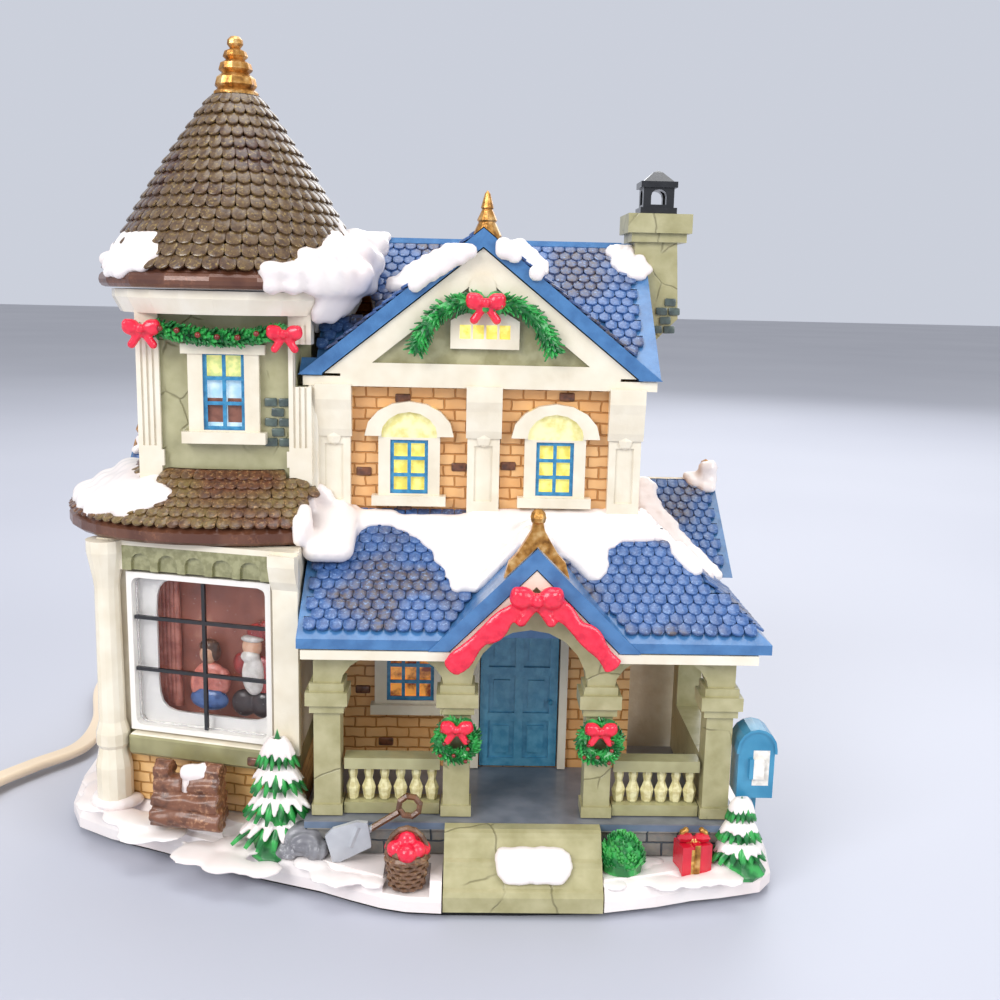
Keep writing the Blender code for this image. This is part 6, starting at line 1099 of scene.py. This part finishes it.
def makeGreenery():
    s = greenSet
    ropes = bmesh.new()
    leafyRope(ropes, s["swag"], 2.0 * mm, 0.8 * mm, 3, s["swagLeaf"], 48)
    for step in range(s["swagCore"] + 1):
        share = step / s["swagCore"]
        addBall(ropes, (-0.0628 + 0.0318 * share, -0.0312, 0.1308 + 0.0022 * (2 * share - 1) ** 2),
                (1.3 * mm, 1.3 * mm, 1.7 * mm), 2)
    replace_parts(newPiece("tower_leaves", ropes, "fir"), "tower_garland")
    sprays = bmesh.new()
    for side in (-1, 1):
        path = [(s["peakX"] + side * x * mm, s["sprayY"], z * mm) for x, z in s["spray"]]
        leafyRope(sprays, path, 1.9 * mm, 0.9 * mm, 9 + side, s["sprayLeaf"], 48)
    newPiece("gable_leaves", sprays, "fir")
    for name, x, seed in s["wreaths"]:
        wreath, berries = bmesh.new(), bmesh.new()
        ring = [(x + s["wreathRadius"] * math.cos(a), -0.0553, s["wreathZ"] + s["wreathRadius"] * math.sin(a))
                for a in (2 * math.pi * i / 16 for i in range(18))]
        leafyRope(wreath, ring, 1.7 * mm, 0.75 * mm, seed, s["wreathLeaf"])
        newPiece("wreath_leaves_" + name, wreath, "fir")
        for i in range(s["berries"]):
            a = 2 * math.pi * i / s["berries"] + 0.3
            reach = (2.9 + 1.9 * (i % 2)) * mm
            addBall(berries, (x + reach * math.cos(a), -0.0575, s["wreathZ"] + reach * math.sin(a)),
                    (s["berry"],) * 3, 2)
        newPiece("wreath_berries_" + name, berries, "berry")
    bows, berries = bmesh.new(), bmesh.new()
    for x, y, z, half in s["bows"]:
        makeBow(bows, (x * mm, y * mm, z * mm), half * mm)
    fused("red_bows", bows, "red", 0.35 * mm, 2)
    for x, z in s["swagBerries"]:
        addBall(berries, (x * mm, s["swagBerryY"], z * mm), (s["swagBerry"],) * 3, 2)
    newPiece("swag_berries", berries, "berry")


ribbonSet = {
    "path": [(11.6, -59.0, 57.6), (14.5, -59.2, 60.5), (18.0, -59.0, 64.5), (21.0, -59.4, 66.6), (24.5, -59.0, 70.5),
             (30.8, -59.3, 73.6), (37.0, -59.0, 71.2), (40.2, -59.4, 67.8), (43.2, -59.0, 65.5), (46.0, -59.2, 62.2),
             (48.9, -59.0, 58.6)],
    "half": 2.5, "swell": 0.5, "lump": (1.2 * mm, 1.0 * mm), "bow": ((30.8 * mm, -59.9 * mm, 74.0 * mm), 5.4 * mm),
}


def makeRibbon():
    # the swagged ribbon over the entry: a wide soft band that dips between folds, with a bow at the peak
    s = ribbonSet
    band = curveThrough([Vector(p) * mm for p in s["path"]], 6)
    bm = bmesh.new()
    for i, point in enumerate(band):
        swell = (s["half"] + s["swell"] * math.sin(i * 0.42)) * mm
        along = wayAt(band, i)
        place = placeMatrix(point, Vector((along.z, 0, -along.x)), (0, -1, 0))
        addForm(bm, bmesh.ops.create_icosphere, place @ scaled(swell, *s["lump"]), subdivisions=2, radius=1.0)
    makeBow(bm, *s["bow"])
    fused("ribbon_folds", bm, "red", 0.4 * mm, 2)


pineSets = {
    "pine_left": {"centre": (-0.0305, -0.0505), "base": 0.0095, "tiers": 4, "radii": (11.6 * mm, 7.8 * mm),
                  "top": 0.0375, "seed": 31},
    "pine_right": {"centre": (0.0818, -0.0568), "base": 0.0092, "tiers": 3, "radii": (7.4 * mm, 4.9 * mm),
                   "top": 0.0255, "seed": 32},
}


def makePine(name, centre, base, tiers, radii, top, seed):
    # a stubby tree of drooping skirts, white with snow above and green at each fringe
    dice = random.Random(seed)
    snow, green = bmesh.new(), bmesh.new()
    x0, y0 = centre
    # mesh, leaves round, reach, sink, width and thickness of each layer
    layers = ((green, 16, 1.0, 0.0, 2.3 * mm, 1.6 * mm), (snow, 14, 0.9, 0.28, 2.6 * mm, 1.9 * mm))
    for tier in range(tiers):
        share = tier / tiers
        foot = base + (top - base) * share * 0.92
        high = (top - base) / tiers * 1.25
        rx, ry = (r * (1 - 0.72 * share) for r in radii)
        for mesh, count, widen, sink, wide, thick in layers:
            for i in range(count):
                a = 2 * math.pi * (i + 0.5 * (tier % 2)) / count
                reach = widen * dice.uniform(0.88, 1.06)
                lower = Vector((x0 + rx * reach * math.cos(a), y0 + ry * reach * math.sin(a),
                                foot + high * sink * dice.uniform(0.7, 1.2)))
                upper = Vector((x0 + rx * 0.15 * math.cos(a), y0 + ry * 0.15 * math.sin(a), foot + high))
                way = lower - upper
                out = Vector((math.cos(a), math.sin(a), 0.9))
                stamped(mesh, oneLeaf, leafMatrix(upper, way, out, way.length * 1.05, wide * (1.1 - 0.5 * share),
                                                  thick))
    fused(name + "_snow", snow, "snow", 0.45 * mm, 3)
    newPiece(name + "_fringe", green, "fir", "house", 50)


makeGreenery()
makeRibbon()
for name, pine in pineSets.items():
    makePine(name, **pine)
print("greenery made")

facet = Matrix.Translation(facetPlace) @ Matrix.Rotation(-facetAngle, 4, "Z")
# sizes and places of the room behind the picture window, in the facet's own frame
roomSet = {
    "wall": (0.0350, 0.0008, 0.0375), "wallPlace": (0.0006, 0.0086, 0.0527), "wallEdge": 0.3 * mm,
    "folds": 5, "foldStep": 1.15 * mm, "foldPlace": (-0.0150, 0.0074, 0.0530), "foldHeight": 0.034,
    # middle and half of the mouth and of the card across and up, in millimetres
    "mouth": (Vector((3.1, 54.0)), Vector((15.6, 17.4))), "card": ((0.65, 52.7), (18.0, 19.3)), "cardFront": 1.2,
    "cardThickness": 0.7 * mm, "mouthPower": 7, "mouthSteps": 64,
}


def facetPiece(name, bm, finish, degrees=60):
    bmesh.ops.transform(bm, matrix=facet, verts=bm.verts)
    return newPiece(name, bm, finish, "house", degrees)


def roomPaint():
    # the painted back of the tray: a plain warm room wall with soft darker and lighter areas, given a painted glow as
    # if lit from inside
    material, tree, place = startMaterial("painted room wall")
    wash = ramp(tree, noiseAt(tree, place, 9 * mm, 3), [(0.3, "#6E3D30"), (0.55, "#8F5443"), (0.75, "#B98772")])
    shader = painted(tree, wash, noiseAt(tree, place, 1.5 * mm, 2), 0.1 * mm, 0.4, 0.4, 0.2)
    # painted light: the wall emits its own colour, standing in for the lamp light inside the window box
    tree.links.new(wash, shader.inputs["Emission Color"])
    shader.inputs["Emission Strength"].default_value = 0.25
    return material


def makeBackdrop():
    s = roomSet
    bm, curtain = bmesh.new(), bmesh.new()
    addBox(bm, Matrix.Translation(s["wallPlace"]), *s["wall"])
    softEdges(bm, s["wallEdge"])
    facetPiece("room_wall", bm, roomPaint())
    x, y, z = s["foldPlace"]
    for i in range(s["folds"]):
        addForm(curtain, bmesh.ops.create_cone, Matrix.Translation((x + i * s["foldStep"], y, z)), cap_ends=True,
                segments=14, radius1=1.1 * mm, radius2=0.9 * mm, depth=s["foldHeight"])
    facetPiece("room_curtain", curtain, "curtain")


def makeMatte():
    # the white card in front of the room: square outside, a rounded mouth set to the right
    s, steps, power = roomSet, roomSet["mouthSteps"], roomSet["mouthPower"]
    bm = bmesh.new()

    def ringPoint(middle, half, c, v, reach):
        return bm.verts.new(Vector((middle[0] + half[0] * c * reach, s["cardFront"],
                                    middle[1] + half[1] * v * reach)) * mm)

    mouth, edge = [], []
    for step in range(steps):
        a = 2 * math.pi * (step + 0.5) / steps
        c, v = math.cos(a), math.sin(a)
        squircle = (abs(c) ** power + abs(v) ** power) ** (-1 / power)
        square = 1 / max(abs(c), abs(v))
        mouth.append(ringPoint(*s["mouth"], c, v, squircle))
        edge.append(ringPoint(*s["card"], c, v, square))
    for loop in (mouth, edge):
        for i in range(steps):
            bm.edges.new((loop[i - 1], loop[i]))
    bmesh.ops.bridge_loops(bm, edges=bm.edges[:])
    grown = bmesh.ops.extrude_face_region(bm, geom=bm.faces[:])["geom"]
    bmesh.ops.translate(bm, verts=[g for g in grown if isinstance(g, bmesh.types.BMVert)],
                        vec=(0, s["cardThickness"], 0))
    bmesh.ops.recalc_face_normals(bm, faces=bm.faces)
    facetPiece("room_matte", bm, "liner", 50)


figureSet = [
    # a figure, its x, and (x, z, rx, rz, tone) of each rounded lump, in the facet's own frame in millimetres
    ("seated", -0.6, [(0.4, 45.0, 4.9, 4.4, "coat"), (-3.6, 43.2, 1.6, 3.4, "coat"), (4.2, 44.6, 1.7, 3.4, "coat"),
                      (0.2, 39.6, 5.4, 3.0, "lap"), (0.0, 51.4, 2.3, 2.6, "skin"), (0.2, 53.4, 2.8, 2.0, "hair"),
                      (1.9, 51.8, 1.2, 2.2, "hair")]),
    ("standing", 12.6, [(-3.4, 39.6, 3.4, 3.6, "trouser"), (1.8, 39.6, 3.6, 3.6, "trouser"),
                        (1.0, 47.0, 5.2, 5.4, "jacket"), (-4.2, 49.8, 2.2, 3.0, "jacket"),
                        (5.4, 47.6, 1.6, 3.6, "jacket"), (-0.4, 47.4, 3.2, 5.4, "beard"),
                        (-1.0, 54.6, 2.7, 2.8, "skin"), (0.6, 58.4, 3.2, 2.4, "jacket"),
                        (2.8, 60.4, 1.5, 1.4, "jacket"), (-0.6, 56.9, 3.2, 0.95, "beard"),
                        (-1.2, 52.2, 2.6, 1.8, "beard")]),
]
figureTones = {  # two paints, and how deep behind the front the lumps sit
    "coat": ("#E98F7C", "#D06F60", 5.4), "lap": ("#4E6FA8", "#3A578C", 4.8), "skin": ("#F0C3A4", "#E2AB88", 5.0),
    "hair": ("#6B4630", "#4C2F1E", 5.5), "trouser": ("#3C2A26", "#2A1C19", 4.9), "jacket": ("#B03A34", "#8C2A28", 5.4),
    "beard": ("#F3EDE6", "#DAD2C8", 4.3),
}


def makeFigures():
    # two small stock figures moulded in low relief, painted a tone at a time
    for name, x0, lumps in figureSet:
        for tone in sorted({lump[4] for lump in lumps}):
            light, dark, depth = figureTones[tone]
            bm = bmesh.new()
            for x, z, rx, rz, kind in lumps:
                if kind == tone:
                    addBall(bm, ((x0 + x) * mm, depth * mm, z * mm), (rx * mm, 1.7 * mm, rz * mm))
            bmesh.ops.transform(bm, matrix=facet, verts=bm.verts)
            paint = glossPaint(f"{name} {tone} paint", light, dark, 0.35, 1.5 * mm)
            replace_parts(fused(f"figure_{name}_{tone}", bm, paint, 0.35 * mm, 3), "window_figures")


makeBackdrop()
makeMatte()
makeFigures()
print("picture window filled")

# x, y, z and radius in millimetres of the drifts that soften the cast yard and lap the walls and posts
driftPlaces = [
    (-80, -27, 12.2, 4.5), (-80.5, -20, 11.5, 4.5), (-78, -33, 11.6, 4.5), (-70.5, -40.5, 11.3, 3.4),
    (-66, -42.5, 11.2, 3.0), (-62, -47, 9.5, 4.2), (-52, -54, 8.2, 4.4), (-43, -58, 7.9, 3.6), (-35, -60.5, 7.9, 3.0),
    (-16, -64, 7.7, 3.0), (-8.5, -65.5, 7.7, 2.2), (52, -65, 7.8, 2.4), (61, -64.5, 7.8, 2.8), (70, -64, 7.8, 2.6),
    (79, -62, 7.8, 2.8), (86, -56, 7.8, 2.6), (-40, -50, 8.6, 3.4), (-22, -58.5, 8.2, 2.4), (75, -59, 8.6, 2.0),
    (60, -58, 8.6, 1.8),
]
postDrift = {"centre": (-74.5, -33.6), "radius": 4.6, "z": 12.6, "from": 150, "step": 24, "balls": 9}


def makeYardSnow():
    balls = []
    dice = random.Random(81)
    for x, y, z, radius in driftPlaces:
        for step in range(3):
            place = Vector((x + dice.uniform(-3.5, 3.5), y + dice.uniform(-1.2, 1.2), z - 0.5)) * mm
            balls.append((place, up3, radius * 1.5 * mm * dice.uniform(0.75, 1.1), 1.15 * mm * dice.uniform(0.8, 1.0)))
    snowHeap("yard_drifts", balls, rounds=8)
    s = postDrift
    (x, y), r = s["centre"], s["radius"]
    snowHeap("post_drift", [
        (Vector((x + r * math.cos(a), y + r * math.sin(a), s["z"])) * mm, up3, 2.6 * mm, 1.8 * mm)
        for a in (math.radians(s["from"] + s["step"] * i) for i in range(s["balls"]))], 0.6 * mm, 8)


# the basket: its middle in millimetres, its apples, and how its strips are woven
basketSet = {
    "x": 1.8, "y": -64.5, "appleZ": 14.8, "apple": 2.2 * mm,
    "apples": [(0, 0, 2.2), (-2.6, -1.2, 0.6), (2.4, -1.6, 0.7), (0.2, -3.0, 0.4), (-1.6, 2.2, 0.6), (2.0, 2.0, 0.6),
               (-3.2, 1.0, 0), (3.4, 0.6, 0)],
    "courses": 7, "stakes": 22, "foot": 6.6, "course": 1.1, "radius": 3.9, "widen": 0.17, "swing": 0.28 * mm,
    "strip": [(-0.2, -0.45), (0.25, -0.35), (0.32, 0), (0.25, 0.35), (-0.2, 0.45)],
}


def makeApples():
    s = basketSet
    bm = bmesh.new()
    dice = random.Random(41)
    for x, y, z in s["apples"]:
        addBall(bm, ((s["x"] + x) * mm, (s["y"] + y) * mm, (s["appleZ"] + z * 1.2) * mm),
                (s["apple"] * dice.uniform(0.92, 1.08),) * 3)
    fused("apples", bm, "red", 0.3 * mm, 2)


def makeBasketWeave():
    # flat strips woven in and out of upright stakes, as two wavy bands a course apart
    s = basketSet
    bm = bmesh.new()
    steps, sides = s["stakes"] * 4, len(s["strip"])
    for course in range(s["courses"]):
        z = (s["foot"] + course * s["course"]) * mm
        radius = (s["radius"] + s["widen"] * course) * mm
        ring = []
        for i in range(steps):
            a = 2 * math.pi * i / steps
            swing = radius + s["swing"] * math.cos(a * s["stakes"] / 2 + math.pi * (course % 2))
            out = Vector((math.cos(a), math.sin(a), 0))
            centre = Vector((s["x"] * mm + swing * math.cos(a), s["y"] * mm + swing * math.sin(a), z))
            ring.append([bm.verts.new(centre + out * p * mm + Vector((0, 0, q * mm))) for p, q in s["strip"]])
        for first, second in zip(ring, ring[1:] + ring[:1]):
            for k in range(sides):
                bm.faces.new((first[k], second[k], second[(k + 1) % sides], first[(k + 1) % sides]))
    bmesh.ops.recalc_face_normals(bm, faces=bm.faces)
    newPiece("basket_weave", bm, "weave", "house", 60)


logSet = {
    "turn": -14, "radii": (2.7 * mm, 2.5 * mm), "grain": 0.32 * mm, "grainScale": (160, 800, 800),
    # middle and length of each log in millimetres
    "logs": [(-53.0, -49.0, 14.4, 18.5), (-53.0, -45.4, 14.8, 18), (-53.0, -48.4, 18.4, 17.5),
             (-53.0, -45.0, 18.6, 17.5), (-57.6, -46.2, 22.2, 7.5), (-48.4, -47.8, 22.2, 8.0),
             (-59.2, -45.2, 25.4, 4.0), (-47.0, -46.6, 25.2, 5.0)],
}


def makeLogs():
    # split logs, barked, stacked in pairs across each other with the snow left between
    s = logSet
    bm = bmesh.new()
    lying = Matrix.Rotation(math.radians(s["turn"]), 4, "Z") @ Matrix.Rotation(math.radians(90), 4, "Y")
    for x, y, z, length in s["logs"]:
        addForm(bm, bmesh.ops.create_cone, Matrix.Translation((x * mm, y * mm, z * mm)) @ lying, cap_ends=True,
                segments=18, radius1=s["radii"][0], radius2=s["radii"][1], depth=length * mm)
    piece = fused("split_logs", bm, "bark", 0.35 * mm, 2)
    for vert in piece.data.vertices:
        grain = noise.noise(Vector([c * scale for c, scale in zip(vert.co, s["grainScale"])]))
        vert.co += vert.normal * grain * s["grain"]
    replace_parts(piece, "log_pile")


boxwoodSet = {"place": (52.8 * mm, -61.2 * mm, 11 * mm), "half": (4.9, 4.2, 6.2), "leaves": 260,
              "leaf": (2.0 * mm, 1.0 * mm, 0.6 * mm)}


def makeBoxwood():
    s = boxwoodSet
    bm = bmesh.new()
    dice = random.Random(61)
    addBall(bm, s["place"], [half * mm for half in s["half"]])
    for i in range(s["leaves"]):
        a, b = dice.uniform(0, 2 * math.pi), dice.uniform(-0.1, 1.0)
        flat = math.sqrt(max(1 - b * b, 0))
        out = Vector((math.cos(a) * flat, math.sin(a) * flat, b))
        place = Vector(s["place"]) + Vector([c * half for c, half in zip(out, s["half"])]) * mm
        way = (up3 + out * 0.9).normalized()
        stamped(bm, oneLeaf, leafMatrix(place - way * 0.6 * mm, way, out, *s["leaf"]))
    newPiece("boxwood_leaves", bm, "boxwood", "house", 50)


def makeGiftBow():
    # two gold loops and their knot on the lid, and the band that hangs down in front
    bm = bmesh.new()
    for side in (-1, 1):
        for step in range(5):
            a = math.radians(20 + 32 * step)
            across, high = 0.6 + 2.4 * math.sin(a), 15.2 + 1.5 * (1 - math.cos(a))
            addBall(bm, ((70 + side * across) * mm, -59.6 * mm, high * mm), (0.75 * mm, 0.95 * mm, 0.75 * mm), 2)
    addBall(bm, (70 * mm, -59.9 * mm, 15.6 * mm), (0.95 * mm,) * 3, 2)
    band = Matrix.Translation((70 * mm, -59.5 * mm, 11.6 * mm)) @ Matrix.Rotation(math.radians(14), 4, "Z")
    addBox(bm, band, 1.5 * mm, 6.3 * mm, 7.4 * mm)
    fused("gift_bow", bm, "gold", 0.25 * mm, 1)


# x from and to, y, lowest z and rows of each patch, in millimetres
slateSet = {
    "patches": ((-36.4, -28.6, -28.15, 105.2, 5), (64.0, 71.6, 4.9, 134.0, 4)),
    "brick": (3.15 * mm, 1.0 * mm, 2.1 * mm), "pitch": 3.5, "course": 2.5, "edge": 0.35 * mm,
}


def makeSlatePatch():
    # a patch where the stucco has fallen from dark bricks, on the tower and on the chimney's lower side
    s = slateSet
    bm = bmesh.new()
    dice = random.Random(71)
    for x0, x1, y, z0, rows in s["patches"]:
        for row in range(rows):
            x = x0 + (1.7 if row % 2 else 0) + (0.6 * row if y > 0 else 0)
            while x + 3.0 < x1 + 0.4:
                place = Matrix.Translation(((x + 1.6) * mm, y * mm, (z0 + row * s["course"]) * mm))
                turn = Matrix.Rotation(math.radians(dice.uniform(-3, 3)), 4, "Y")
                addBox(bm, place @ turn, *s["brick"])
                x += s["pitch"]
    softEdges(bm, s["edge"])
    newPiece("slate_bricks", bm, "slateBrick")


# x, y, z, half width and half height of each boulder in millimetres, and the swirl cut into them
boulderSet = {
    "lumps": [(-23.8, -53.8, 11.6, 5.2, 4.4), (-25.6, -51.5, 11, 4.2, 3.6), (-20.6, -56.4, 10.2, 3.4, 2.6),
              (-27.4, -55.4, 9.6, 3.2, 2.2)],
    "middle": (-0.0238, -0.0538, 0.0116), "swirl": 0.16 * mm,
}


def makeBoulders():
    s = boulderSet
    bm = bmesh.new()
    for x, y, z, rx, rz in s["lumps"]:
        addBall(bm, (x * mm, y * mm, z * mm), (rx * mm, rx * 0.85 * mm, rz * mm))
    piece = fused("round_boulders", bm, "stone", 0.4 * mm, 4)
    for vert in piece.data.vertices:
        local = vert.co - Vector(s["middle"])
        swirl = math.sin(math.hypot(local.x, local.z * 1.2) * 3600 + math.atan2(local.z, local.x) * 1.5)
        vert.co += vert.normal * swirl * s["swirl"]
    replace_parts(piece, "boulders")


# where the camera sees them, in a picture 1000 across
oddBrickSet = {
    "seen": [(403, 398), (364, 471), (404, 510), (459, 467), (567, 397), (508, 466), (163, 763), (255, 762),
             (363, 689), (386, 741)],
    "brick": (3.9 * mm, 2.2 * mm, 1.1 * mm), "edge": 0.4 * mm,
}


def makeOddBricks():
    # single dark bricks standing a little proud of the brickwork
    s = oddBrickSet
    walls = treeOf("main_walls", "tower_lower_wall")
    bm = bmesh.new()
    for x, y in s["seen"]:
        hit, normal = walls.ray_cast(*cameraRay(x, y))[:2]
        addBox(bm, placeMatrix(hit, up3.cross(normal), normal), *s["brick"])
    softEdges(bm, s["edge"], 3)
    newPiece("odd_bricks", bm, "brownBrick")


def makeCornerFill():
    # slip that fills the corner between the tower and the front wall
    bm = bmesh.new()
    addBox(bm, Matrix.Translation((-24.6 * mm, -25.6 * mm, 103 * mm)), 2.6 * mm, 3.6 * mm, 33 * mm)
    softEdges(bm, 0.6 * mm, 3)
    newPiece("corner_slip", bm, "cream")


makeOddBricks()
makeCornerFill()
makeYardSnow()
makeApples()
makeBasketWeave()
makeLogs()
makeBoxwood()
makeGiftBow()
makeSlatePatch()
makeBoulders()
print("yard filled")
